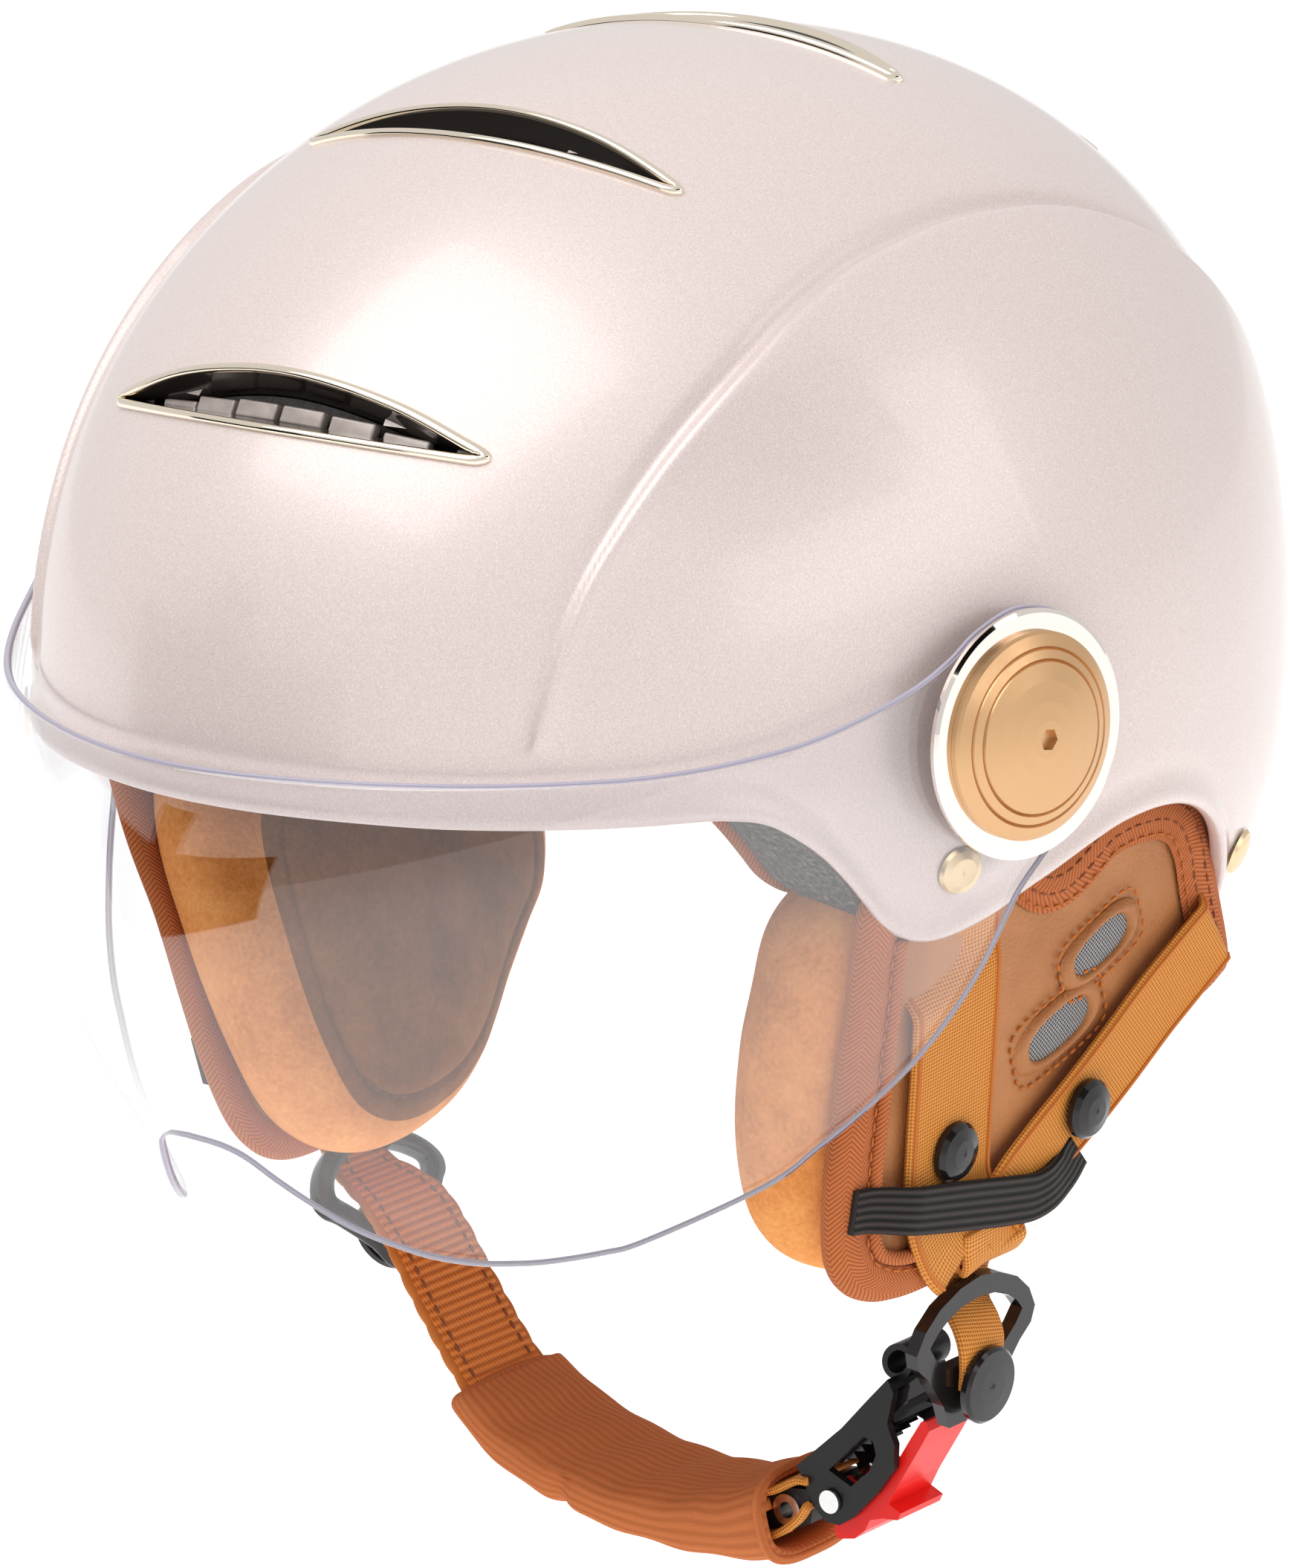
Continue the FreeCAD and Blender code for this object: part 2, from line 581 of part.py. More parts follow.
for side, word in ((1, "left"), (-1, "right")):
    tip = mirror(tilt, side)
    flat = Rotation(Vector(0, 0, 1), Vector(side, 0, 0))
    tilted = Rotation(Vector(0, 0, 1), tip)

    nut = turned("PivotNut_" + word, [
        (plus(q("pivot_radius"), num(0.02)), num(0)), (q("nut_radius"), num(0)), (q("nut_radius"), q("nut_flange_height")),
        (q("nut_sleeve_radius"), q("nut_flange_height")), (q("nut_sleeve_radius"), q("nut_sleeve_height")),
        (plus(q("pivot_radius"), num(0.02)), q("nut_sleeve_height"))])
    nut.Placement = Placement(Vector(side * NUT_X, PY, PZ), flat)
    keep(nut, "pivot_nut_" + word)

    washer = turned("PivotWasher_" + word, [
        (q("pivot_bore_radius"), num(0)), (q("washer_radius"), num(0)), (q("washer_radius"), q("washer_height")),
        (q("pivot_bore_radius"), q("washer_height"))])
    washer.Placement = Placement(Vector(side * (WASHER_TOP - D["washer_height"]), PY, PZ), flat)
    keep(washer, "pivot_washer_" + word)

    post = turned("PivotPost_" + word, [
        (num(0), num(0)), (q("pivot_radius"), num(0)), (q("pivot_radius"), q("pivot_length")),
        (q("pivot_flange_radius"), q("pivot_length")),
        (q("pivot_flange_radius"), plus(q("pivot_length"), q("pivot_head_height"))),
        (num(0), plus(q("pivot_length"), q("pivot_head_height")))])
    post.Placement = Placement(Vector(side * (VISOR_X + 0.1 + D["side_ring_height"] + 1.25 - D["pivot_length"]), PY, PZ), flat)
    keep(post, "pivot_post_" + word)

    ring = turned("SideRing_" + word, [
        (num(1.0), neg(q("side_ring_hub_height"))), (q("side_ring_hub_radius"), neg(q("side_ring_hub_height"))),
        (q("side_ring_hub_radius"), num(0)), (q("side_ring_radius"), num(0)),
        (q("side_ring_radius"), minus(q("side_ring_height"), num(0.5))),
        (minus(q("side_ring_radius"), num(0.8)), q("side_ring_height")), (num(1.0), q("side_ring_height"))])
    base = Vector(side * visor_out.x, PY, PZ) + tip * 0.1
    ring.Placement = Placement(base, tilted)
    bore = doc.addObject("Part::Cylinder", "SideRingBore_" + word)
    bore.setExpression("Radius", "Dims.pivot_bore_radius")
    bore.Height = 40
    bore.Placement = Placement(Vector(side * 100, PY, PZ), flat)
    cut = doc.addObject("Part::Cut", "SideRingBored_" + word)
    cut.Base = ring
    cut.Tool = bore
    keep(cut, "visor_ring_" + word)

    cap = turned("PivotCap_" + word, [
        (q("cap_recess_radius"), num(0)), (q("cap_radius"), num(0)), (q("cap_radius"), minus(q("cap_rim_height"), num(0.5))),
        (minus(q("cap_radius"), num(0.6)), q("cap_rim_height")),
        (plus(q("cap_groove_out"), num(0.35)), plus(q("cap_rim_height"), num(1.0))),
        (q("cap_groove_out"), plus(q("cap_rim_height"), minus(num(1.0), q("cap_groove_depth")))),
        (minus(q("cap_groove_out"), num(0.35)), plus(q("cap_rim_height"), num(1.15))),
        (plus(q("cap_groove_in"), num(0.35)), plus(q("cap_rim_height"), num(1.75))),
        (q("cap_groove_in"), plus(q("cap_rim_height"), minus(num(1.75), q("cap_groove_depth")))),
        (minus(q("cap_groove_in"), num(0.35)), plus(q("cap_rim_height"), num(1.95))),
        (num(11.5), plus(q("cap_rim_height"), num(2.8))), (num(7.5), plus(q("cap_rim_height"), num(3.5))),
        (num(3.8), plus(q("cap_rim_height"), minus(q("cap_rise"), num(0.12)))),
        (num(0), plus(q("cap_rim_height"), q("cap_rise"))),
        (num(0), q("cap_recess_height")), (q("cap_recess_radius"), q("cap_recess_height"))])
    hexa = new_sketch(cap, "XY_Plane", "PivotHex_" + word, D["cap_rim_height"] + D["cap_rise"] + 0.5)
    r = D["hex_across_flats"] / math.sqrt(3)
    polygon(hexa, [((r * math.cos(math.radians(60 * k + 10)), "Dims.hex_across_flats / %.6f" % (D["hex_across_flats"] / (r * math.cos(math.radians(60 * k + 10))))),
                    (r * math.sin(math.radians(60 * k + 10)), "Dims.hex_across_flats / %.6f" % (D["hex_across_flats"] / (r * math.sin(math.radians(60 * k + 10)))))) for k in range(6)])
    add_pocket(cap, hexa, plus(q("hex_depth"), num(0.5)))
    cap.Placement = Placement(base + tip * (D["side_ring_height"] + 0.03), tilted)
    keep(cap, "pivot_cap_" + word)

# ---------------------------------------------------------------- rivets

for index, word in ((0, "front"), (1, "rear")):
    master = turned("StrapRivet_" + word, [
        (num(0), neg(plus(q("rivet_grip"), q("rivet_tail_height")))),
        (q("rivet_tail_radius"), neg(plus(q("rivet_grip"), q("rivet_tail_height")))),
        (q("rivet_tail_radius"), neg(q("rivet_grip"))), (q("rivet_shank_radius"), neg(q("rivet_grip"))),
        (q("rivet_shank_radius"), num(0)), (q("rivet_head_radius"), num(0)),
        (minus(q("rivet_head_radius"), num(0.5)), num(0.8)), (num(3.0), minus(q("rivet_head_height"), num(0.3))),
        (num(0), q("rivet_head_height"))])
    p, n = rivet_spots[index]
    doc.recompute()
    pair = []
    for side, hand in ((1, "l"), (-1, "r")):
        one = doc.addObject("Part::Feature", "Rivet_%s_%s" % (word, hand))
        one.Shape = master.Shape.copy()
        one.Placement = Placement(mirror(p + n * 0.42, side), Rotation(Vector(0, 0, 1), mirror(n, side)))
        pair.append(one)
    group = doc.addObject("Part::Compound", "StrapRivets_" + word)
    group.Links = pair
    keep(group, "strap_rivets_" + word)

# ---------------------------------------------------------------- ear covers, pads, straps

COVER = [(25.8, -34), (42, -26), (58.3, -25), (68.8, -29), (75.1, -37), (79.3, -48.8), (86.6, -68.6), (83.7, -72.4),
         (75.3, -76.2), (66.7, -79.5), (60.3, -82.4), (54.4, -86.9), (48.3, -91.3), (41.1, -96), (36.3, -100.9),
         (31.4, -105.2), (25.3, -108.3), (19.2, -110.8), (8, -114.6), (-4.5, -116.8), (-16, -116.2), (-24.2, -112.8), (-28.6, -107.6),
         (-30.4, -101.0), (-30.8, -90.8), (-30.4, -80), (-29.8, -69.1), (-29.6, -55.3), (-29.4, -41.5), (-26.4, -30), (-12, -24), (8, -24)]


def cover_x(y, z):
    return 103.6 + 0.06 * (y - 20) + 0.10 * (z + 60)


FOLD = 0.31
FOLD_TOP = -28.0


def lean(v, side):
    """The wearer's right ear cover folds inward below its top edge; made on the left, then mirrored."""
    if side > 0:
        return Vector(v)
    return Vector(v.x - FOLD * max(0.0, FOLD_TOP - v.z), v.y, v.z)


def clear_of_shell(shape):
    """The part of a soft piece that is not inside the shell wall."""
    rest = shape.cut(shell)
    return max(rest.Solids, key=lambda one: one.Volume)


def hand(shape, side, fold=False):
    """Shapes are made on the wearer's left; the right-hand ones are mirrored over."""
    if side > 0:
        return shape
    if fold:
        m = FreeCAD.Matrix(1, 0, FOLD, -FOLD * FOLD_TOP, 0, 1, 0, 0, 0, 0, 1, 0, 0, 0, 0, 1)
        shape = shape.transformGeometry(m)
    return shape.mirror(Vector(0, 0, 0), Vector(1, 0, 0))


def inset(points, amount):
    """Move a closed outline inward by roughly one amount."""
    out = []
    n = len(points)
    for i in range(n):
        a, b = points[i - 1], points[(i + 1) % n]
        tx, ty = b[0] - a[0], b[1] - a[1]
        length = math.hypot(tx, ty)
        out.append((points[i][0] - ty / length * -amount, points[i][1] + tx / length * -amount))
    return out


def area(points):
    return sum(points[i - 1][0] * points[i][1] - points[i][0] * points[i - 1][1] for i in range(len(points))) / 2


sign = 1 if area(COVER) > 0 else -1


def shrink(points, amount):
    return inset(points, -sign * amount)


def resample(points, count=28):
    """Evenly spaced points round a closed outline."""
    n = len(points)
    seg = [math.dist(points[i], points[(i + 1) % n]) for i in range(n)]
    total = sum(seg)
    out = []
    for k in range(count):
        target = total * k / count
        i = 0
        while target > seg[i]:
            target -= seg[i]
            i += 1
        f = target / seg[i]
        a, b = points[i], points[(i + 1) % n]
        out.append((a[0] + (b[0] - a[0]) * f, a[1] + (b[1] - a[1]) * f))
    return out


def ring_wire(outline, x_of, side):
    pts = [Vector(x_of(y, z), y, z) for y, z in outline]
    return Part.Wire([spline_edge(pts, periodic=True)])


def slab(layers, side):
    """Closed loft through outlines: layers of (outline, x function)."""
    return Part.makeLoft([ring_wire(o, f, side) for o, f in layers], True, False)


def band(stations, side, width, thick, use_lean=True):
    """Flat strap lofted through stations of (x, y, z, across vector)."""
    wires = []
    for k, (p, across, out) in enumerate(stations):
        a = Vector(across)
        a.normalize()
        n = Vector(out)
        n.normalize()
        h, t = width / 2, thick / 2
        corners = [p + a * h + n * t, p + a * h - n * t, p - a * h - n * t, p - a * h + n * t]
        if use_lean:
            corners = [lean(c, side) for c in corners]
        wires.append(Part.makePolygon(corners + [corners[0]]))
    return Part.makeLoft(wires, True, True)


def path_band(points, across, side, width, thick, use_lean=True):
    """Flat strap along points; its face normal follows the path and the across vectors."""
    stations = []
    n = len(points)
    for i in range(n):
        a, b = points[max(i - 1, 0)], points[min(i + 1, n - 1)]
        t = b - a
        t.normalize()
        w = across[i] if isinstance(across, list) else across
        w = w - t * w.dot(t)
        w.normalize()
        stations.append((points[i], w, w.cross(t)))
    return band(stations, side, width, thick, use_lean)


PAD = [(25, -30), (50, -29), (66, -35), (75, -48), (76, -62), (69, -74), (58, -82), (47, -90.5), (36, -99), (25, -106),
       (12, -111.5), (-4, -114), (-17, -112), (-26, -105), (-29.8, -92), (-30.5, -75), (-29.5, -55), (-25.5, -38), (-14, -30), (5, -29)]


def scaled(points, factor):
    cy = sum(p[0] for p in points) / len(points)
    cz = sum(p[1] for p in points) / len(points)
    return [(cy + (y - cy) * factor, cz + (z - cz) * factor) for y, z in points]


SW, ST = D["strap_width"], D["strap_thickness"]

for side, word in ((1, "left"), (-1, "right")):
    cover = slab([
        (resample(shrink(COVER, 3.0), 30), lambda y, z: cover_x(y, z) - 0.0),
        (resample(shrink(COVER, 1.4), 30), lambda y, z: cover_x(y, z) - 1.8),
        (resample(shrink(COVER, 2.4), 30), lambda y, z: cover_x(y, z) - 4.6)], side)
    keep(doc.addObject("Part::Feature", "EarCover_" + word), "ear_cover_" + word).Shape = clear_of_shell(hand(cover, side, True))

    # bound edge round the cover: a rounded rim standing outside the slab
    rim_body = slab([
        (resample(shrink(COVER, -0.5), 36), lambda y, z: cover_x(y, z) - 0.5),
        (resample(shrink(COVER, -1.8), 36), lambda y, z: cover_x(y, z) - 2.3),
        (resample(shrink(COVER, -0.5), 36), lambda y, z: cover_x(y, z) - 4.1)], side)
    core = slab([
        (resample(shrink(COVER, 1.15), 36), lambda y, z: cover_x(y, z) + 1.5),
        (resample(shrink(COVER, 1.15), 36), lambda y, z: cover_x(y, z) - 2.3),
        (resample(shrink(COVER, 1.15), 36), lambda y, z: cover_x(y, z) - 6.5)], side)
    piping = rim_body.cut(core)
    keep(doc.addObject("Part::Feature", "EarPiping_" + word), "ear_piping_" + word).Shape = clear_of_shell(hand(piping, side, True))

    pad = slab([(scaled(PAD, 0.93), lambda y, z: cover_x(y, z) - 5.0), (scaled(PAD, 0.985), lambda y, z: cover_x(y, z) - 9.5),
                (scaled(PAD, 0.975), lambda y, z: cover_x(y, z) - 21.0), (scaled(PAD, 0.88), lambda y, z: cover_x(y, z) - 30.0),
                (scaled(PAD, 0.66), lambda y, z: cover_x(y, z) - 36.0)], side)
    keep(doc.addObject("Part::Feature", "EarPad_" + word), "ear_pad_" + word).Shape = hand(pad, side, True)

    eyes = []
    for cy, cz, ry, rz in ((42.0, -55.4, 9.0, 6.2), (30.4, -70.6, 10.4, 6.2)):
        outline = [(cy + ry * math.cos(math.radians(a)), cz + rz * math.sin(math.radians(a))) for a in range(0, 360, 30)]
        eye = slab([(outline, lambda y, z: cover_x(y, z) + 0.1), (outline, lambda y, z: cover_x(y, z) + 0.9)], side)
        eyes.append(eye)
    mesh = doc.addObject("Part::Feature", "EarMesh_" + word)
    mesh.Shape = hand(Part.makeCompound(eyes), side, True)
    keep(mesh, "ear_mesh_" + word)

    def strap_x(y, z, rise, start):
        """Under the strap: the ear cover lower down, the inside of the shell near its rivet."""
        f = max(0.0, min(1.0, (z - start) / 14.0))
        return (cover_x(y, z) + rise) * (1 - f) + (shell_x(y, z, D["shell_wall"]) - 2.2) * f

    def surface_strap(stations, rise, start, width):
        wires = []
        mids = [Vector(strap_x(y, z, rise, start), y, z) for y, z in stations]
        last = len(mids) - 1
        for k, (y, z) in enumerate(stations):
            h = width / 2
            way = mids[min(k + 1, last)] - mids[max(k - 1, 0)]
            flat = math.hypot(way.y, way.z)
            ay, az = -way.z / flat, way.y / flat
            ends = [Vector(strap_x(y + s * ay * h, z + s * az * h, rise, start), y + s * ay * h, z + s * az * h) for s in (1, -1)]
            run = mids[min(k + 1, len(mids) - 1)] - mids[max(k - 1, 0)]
            run.normalize()
            n = (ends[0] - ends[1]).cross(run)
            n.normalize()
            n = n * (ST / 2)
            corners = [lean(c, side) for c in (ends[0] + n, ends[0] - n, ends[1] - n, ends[1] + n)]
            wires.append(Part.makePolygon(corners + [corners[0]]))
        strap = Part.makeLoft(wires, True, True)
        if strap.Volume < 0:
            strap.reverse()
        return clear_of_shell(hand(strap, side))

    front = [(-10.4, -19.5), (-10.6, -26.3), (-7.5, -34), (-4.9, -43), (-3.9, -56), (-3.6, -70), (-3.2, -84), (-2.4, -95), (-0.6, -102.5), (0.4, -106.0)]
    keep(doc.addObject("Part::Feature", "FrontStrap_" + word), "front_strap_" + word).Shape = surface_strap(
        front, 1.75, -40.0, SW)
    rear = [(92.5, -36), (88.0, -46), (80, -55), (68, -63.5), (58, -71), (48, -78.5), (36, -87.2), (27.0, -93.6), (21.5, -97.6), (17.5, -100.6)]
    keep(doc.addObject("Part::Feature", "RearStrap_" + word), "rear_strap_" + word).Shape = surface_strap(rear, 3.9, -60.0, SW - 1.5)

    pts = [Vector(cover_x(y, z) + 6.2 + k, y, z) for y, z, k in ((-25.5, -95.5, -3.4), (-17, -97.5, -0.4), (-6, -99.6, 0), (5, -101.4, 0), (16, -102.4, 0.4), (27, -101.6, 0.2), (33, -99.5, -2.4))]
    keep(doc.addObject("Part::Feature", "ElasticBand_" + word), "elastic_band_" + word).Shape = hand(path_band(
        pts, Vector(0, 0.1, 1), side, D["elastic_width"], D["elastic_thickness"]), side)

    master = turned("StrapSnap_" + word, [
        (num(0), num(0)), (q("snap_radius"), num(0)), (q("snap_radius"), minus(q("snap_height"), num(1.9))),
        (minus(q("snap_radius"), num(0.9)), minus(q("snap_height"), num(0.9))), (num(3.0), minus(q("snap_height"), num(0.2))),
        (num(0), q("snap_height"))])
    doc.recompute()
    pair = []
    for k, (y, z, rise) in enumerate(((-2.8, -88.2, 3.1), (36.0, -88.4, 5.2))):
        one = doc.addObject("Part::Feature", "Snap_%s_%d" % (word, k))
        one.Shape = master.Shape.copy()
        at = lean(Vector(cover_x(y, z) + rise, y, z), side)
        lower = lean(Vector(cover_x(y, z - 4) + rise, y, z - 4), side)
        upper = lean(Vector(cover_x(y, z + 4) + rise, y, z + 4), side)
        n = Vector(0, 1, 0).cross(upper - lower)
        if n.x < 0:
            n = n * -1
        n.normalize()
        one.Placement = Placement(mirror(at, side), Rotation(Vector(0, 0, 1), mirror(n, side)))
        pair.append(one)
    group = doc.addObject("Part::Compound", "StrapSnaps_" + word)
    group.Links = pair
    keep(group, "strap_snaps_" + word)

# ---------------------------------------------------------------- strap rings

SY = D["strap_plane_y"]
LOOP_OUT = [(-15.5, 0.0), (-19.0, 3.0), (-20.0, 6.5), (-17.5, 11.0), (-13.0, 14.8), (-6.5, 17.6), (0.0, 18.6), (6.5, 17.6),
            (13.0, 14.8), (17.5, 11.0), (20.0, 6.5), (19.0, 3.0), (15.5, 0.0), (9.5, -7.5), (7.0, -13.0), (-7.0, -13.0), (-9.5, -7.5)]
LOOP_IN = [(-13.4, 4.0), (-15.6, 7.0), (-13.2, 9.6), (-10.0, 11.6), (-5.4, 13.4), (0.0, 14.0), (5.4, 13.4), (10.0, 11.6),
           (13.2, 9.6), (15.6, 7.0), (13.4, 4.0), (9.4, 0.5), (-9.4, 0.5)]


def strap_loop(name):
    """Flat ring in its own XY plane: X across, Y up the strap."""
    body = new_body(name)
    sk = new_sketch(body, "XY_Plane", name + "_Outline")
    polygon(sk, [(num(x), num(y)) for x, y in LOOP_OUT])
    add_pad(body, sk, q("loop_thickness"), symmetric=True)
    hole = new_sketch(body, "XY_Plane", name + "_Opening")
    polygon(hole, [(num(x), num(y)) for x, y in LOOP_IN])
    add_pocket(body, hole, plus(q("loop_thickness"), num(4)), symmetric=True)
    return body


def loop_cap(name):
    return turned(name, [
        (num(0), num(0)), (minus(q("loop_cap_radius"), num(1.2)), num(0)), (q("loop_cap_radius"), num(0.9)),
        (q("loop_cap_radius"), minus(q("loop_cap_height"), num(1.0))), (minus(q("loop_cap_radius"), num(0.7)), minus(q("loop_cap_height"), num(0.3))),
        (num(4.0), minus(q("loop_cap_height"), num(0.08))), (num(0), q("loop_cap_height"))])


def frame_rotation(across, upward):
    """Rotation taking X to across, Y to upward, Z to their cross product."""
    x = Vector(across)
    x.normalize()
    y = Vector(upward)
    y = y - x * y.dot(x)
    y.normalize()
    z = x.cross(y)
    m = FreeCAD.Matrix(x.x, y.x, z.x, 0, x.y, y.y, z.y, 0, x.z, y.z, z.z, 0, 0, 0, 0, 1)
    return Rotation(m)


# left ring is one moulding with the toothed tongue; the right ring stands alone
left_up = Vector(0.10, 0, 1.0)
left_up.normalize()
left_rot = frame_rotation(Vector(0, 1, 0), left_up)
left_at = Vector(93.8, SY - 2.0, -138.3)
left_out = left_rot.multVec(Vector(0, 0, 1))
right_up = Vector(-0.62, 0, 0.80)
right_up.normalize()
right_rot = frame_rotation(Vector(0, -1, 0), right_up)
right_at = Vector(-63.5, SY, -136.5)
right_out = right_rot.multVec(Vector(0, 0, 1))

ring_right = strap_loop("RingRight")
ring_right.Placement = Placement(right_at, right_rot)
keep(ring_right, "strap_ring_right")
cap_right = loop_cap("RingCapRight")
cap_right.Placement = Placement(right_at + right_rot.multVec(Vector(0, -4.2, 0)) + right_out * (D["loop_thickness"] / 2 + 2.1), right_rot)
keep(cap_right, "strap_ring_cap_right")

# ---------------------------------------------------------------- buckle, in its own frame
# local X runs along the tongue, local Y outward from the chin, local Z across the strap

BA = math.radians(D["buckle_angle"])
EU = Vector(math.cos(BA), 0, math.sin(BA))
EN = Vector(math.sin(BA), 0, -math.cos(BA))
BUCKLE = Placement(Vector(D["buckle_x"], SY, D["buckle_z"]), frame_rotation(EU, EN))


def local(u, n, w=0.0):
    return BUCKLE.multVec(Vector(u, n, w))


receiver = new_body("BuckleReceiver")
sk = new_sketch(receiver, "XY_Plane", "ReceiverCheeks")
polygon(sk, [(num(a), num(b)) for a, b in ((-2.5, -10.6), (-3.4, -7.0), (-5.2, -2.0), (-4.9, 2.2), (-2.4, 4.8), (1.6, 5.6), (11.0, 5.4), (18.6, 4.2), (22.6, 0.6),
                                          (24.2, -3.6), (30.5, -7.4), (31.4, -10.4), (24.5, -10.2), (13.5, -9.7), (4.0, -10.2))])
add_pad(receiver, sk, (2 * D["receiver_half_width"], "2 * Dims.receiver_half_width"), symmetric=True)
sk = new_sketch(receiver, "XY_Plane", "ReceiverChannel")
polygon(sk, [(num(a), num(b)) for a, b in ((-8, -7.9), (36, -7.9), (36, 9), (-8, 9))])
add_pocket(receiver, sk, (2 * (D["receiver_half_width"] - D["receiver_cheek"]), "2 * (Dims.receiver_half_width - Dims.receiver_cheek)"), symmetric=True)
sk = new_sketch(receiver, "XY_Plane", "ReceiverWindows")
polygon(sk, [(num(a), num(b)) for a, b in ((4.0, -5.2), (17.2, -5.2), (18.4, -3.0), (17.0, -0.6), (13.0, 0.9), (6.4, 0.6))])
add_pocket(receiver, sk, (40.0, None), symmetric=True)
sk = new_sketch(receiver, "XY_Plane", "ReceiverPinHole")
circle(sk, num(0), num(0), plus(q("pin_radius"), num(0.02)))
add_pocket(receiver, sk, (40.0, None), symmetric=True)
receiver.Placement = BUCKLE
keep(receiver, "buckle_receiver")

pin = turned("LeverPin", [
    (num(0), num(0)), (num(2.5), num(0)), (num(2.5), num(0.8)), (q("pin_radius"), num(0.8)), (q("pin_radius"), num(20.4)), (num(2.5), num(20.4)),
    (num(2.5), num(21.2)), (num(0), num(21.2))])
pin.Placement = BUCKLE.multiply(Placement(Vector(0, 0, -10.6), Rotation()))
keep(pin, "lever_pin")

lever = new_body("BuckleLever")
sk = new_sketch(lever, "XY_Plane", "LeverSide")
polygon(sk, [(num(a), num(b)) for a, b in ((-3.1, -2.4), (-3.3, 2.6), (-6.2, 4.4), (-6.8, 6.2), (-3.0, 8.6), (0.6, 8.9), (3.4, 8.0), (6.6, 9.6), (9.6, 12.0), (11.4, 11.4),
                                          (10.2, 8.3), (14.6, 6.9), (26.0, 4.2), (30.6, 3.0), (31.6, 1.2), (30.2, 0.4), (24.6, 1.6), (13.0, 4.3), (6.0, 4.6), (3.3, 2.4), (2.6, -2.6), (0.6, -3.4))])
add_pad(lever, sk, (2 * D["lever_half_width"], "2 * Dims.lever_half_width"), symmetric=True)
sk = new_sketch(lever, "XY_Plane", "LeverBore")
circle(sk, num(0), num(0), q("pin_bore_radius"))
add_pocket(lever, sk, (40.0, None), symmetric=True)
sk = new_sketch(lever, "XY_Plane", "LeverSpringRoom")
polygon(sk, [(num(a), num(b)) for a, b in ((-5.2, -5.0), (5.2, -5.0), (5.2, 3.4), (-5.2, 3.4))])
add_pocket(lever, sk, (6.0, None), symmetric=True)
lever.Placement = BUCKLE
keep(lever, "buckle_lever")

# torsion spring: coils round the pin, one leg on the receiver floor and one under the lever
def sweep(points, radius, sides=6):
    """Round wire along points, as a ruled loft through small polygons."""
    rings = []
    last = len(points) - 1
    normal = None
    for i, p in enumerate(points):
        t = points[min(i + 1, last)] - points[max(i - 1, 0)]
        t.normalize()
        if normal is None:
            normal = t.cross(Vector(0.3, 0.2, 0.9))
        normal = normal - t * normal.dot(t)
        normal.normalize()
        other = t.cross(normal)
        ring = [p + normal * (radius * math.cos(2 * math.pi * k / sides)) + other * (radius * math.sin(2 * math.pi * k / sides)) for k in range(sides)]
        rings.append(Part.makePolygon(ring + [ring[0]]))
    return Part.makeLoft(rings, True, True)


coil_pts = [Vector(-4.4, -2.45, -2.0)]
for k in range(-3, 4 * 12 - 3 + 1):
    a = 2 * math.pi * k / 12
    coil_pts.append(Vector(2.45 * math.cos(a), 2.45 * math.sin(a), -2.0 + 4.0 * (k + 3) / 48))
coil_pts.append(Vector(4.4, -2.45, 2.0))
spring = doc.addObject("Part::Feature", "LeverSpring")
spring.Shape = sweep(coil_pts, 0.36)
spring.Placement = BUCKLE
keep(spring, "lever_spring")

tongue = new_body("BuckleTongue")
sk = new_sketch(tongue, "XY_Plane", "TongueSide")
low = -7.5
flat = low + D["tongue_thickness"]
outline = [(5.0, low), (31.0, low), (36.5, -7.0), (42.5, -4.4), (42.5, -1.6), (36.0, -3.6), (30.0, flat)]
teeth = []
x = 24.0
while x > 8.0:
    teeth += [(x, flat), (x - 0.15, flat + D["tooth_height"]), (x - D["tooth_pitch"] + 0.4, flat)]
    x -= D["tooth_pitch"]
outline += teeth + [(5.8, flat), (5.0, flat - 0.8)]
polygon(sk, [(num(a), num(b)) for a, b in outline])
add_pad(tongue, sk, (2 * D["tongue_half_width"], "2 * Dims.tongue_half_width"), symmetric=True)
tongue.Placement = BUCKLE
loop = strap_loop("RingLeft")
loop.Placement = Placement(left_at, left_rot)
joined = doc.addObject("Part::Fuse", "TongueWithRing")
joined.Base = tongue
joined.Tool = loop
keep(joined, "buckle_tongue")

cap_left = loop_cap("RingCapLeft")
cap_left.Placement = Placement(left_at + left_rot.multVec(Vector(0, -4.2, 0)) + left_out * (D["loop_thickness"] / 2 + 2.1), left_rot)
keep(cap_left, "strap_ring_cap_left")

bracket = new_body("StrapBracket")
sk = new_sketch(bracket, "XY_Plane", "BracketSide")
polygon(sk, [(num(a), num(b)) for a, b in ((-24.0, -2.6), (-22.5, -4.4), (-12.0, -6.6), (-6.6, -6.6), (-6.0, -2.4), (-7.0, 0.8), (-12.0, 2.6), (-22.0, 1.4), (-24.0, 0.2))])
add_pad(bracket, sk, (2 * D["bracket_half_width"], "2 * Dims.bracket_half_width"), symmetric=True)
sk = new_sketch(bracket, "XY_Plane", "BracketChannel")
polygon(sk, [(num(a), num(b)) for a, b in ((-30, -9), (-8.6, -9), (-8.6, 5), (-30, 5))])
add_pocket(bracket, sk, (2 * (D["bracket_half_width"] - 1.6), "2 * (Dims.bracket_half_width - 1.6)"), symmetric=True)
sk = new_sketch(bracket, "XY_Plane", "BracketEyeletHole")
circle(sk, num(-12.5), num(-2.0), plus(q("eyelet_radius"), num(0.02)))
add_pocket(bracket, sk, (40.0, None), symmetric=True)
BRACKET = BUCKLE.multiply(Placement(Vector(0, 0, 0), Rotation(Vector(0, 0, 1), 36), Vector(-6.3, -3.0, 0)))
bracket.Placement = BRACKET.multiply(Placement(Vector(0.2, 0.6, 0), Rotation()))
keep(bracket, "strap_bracket")

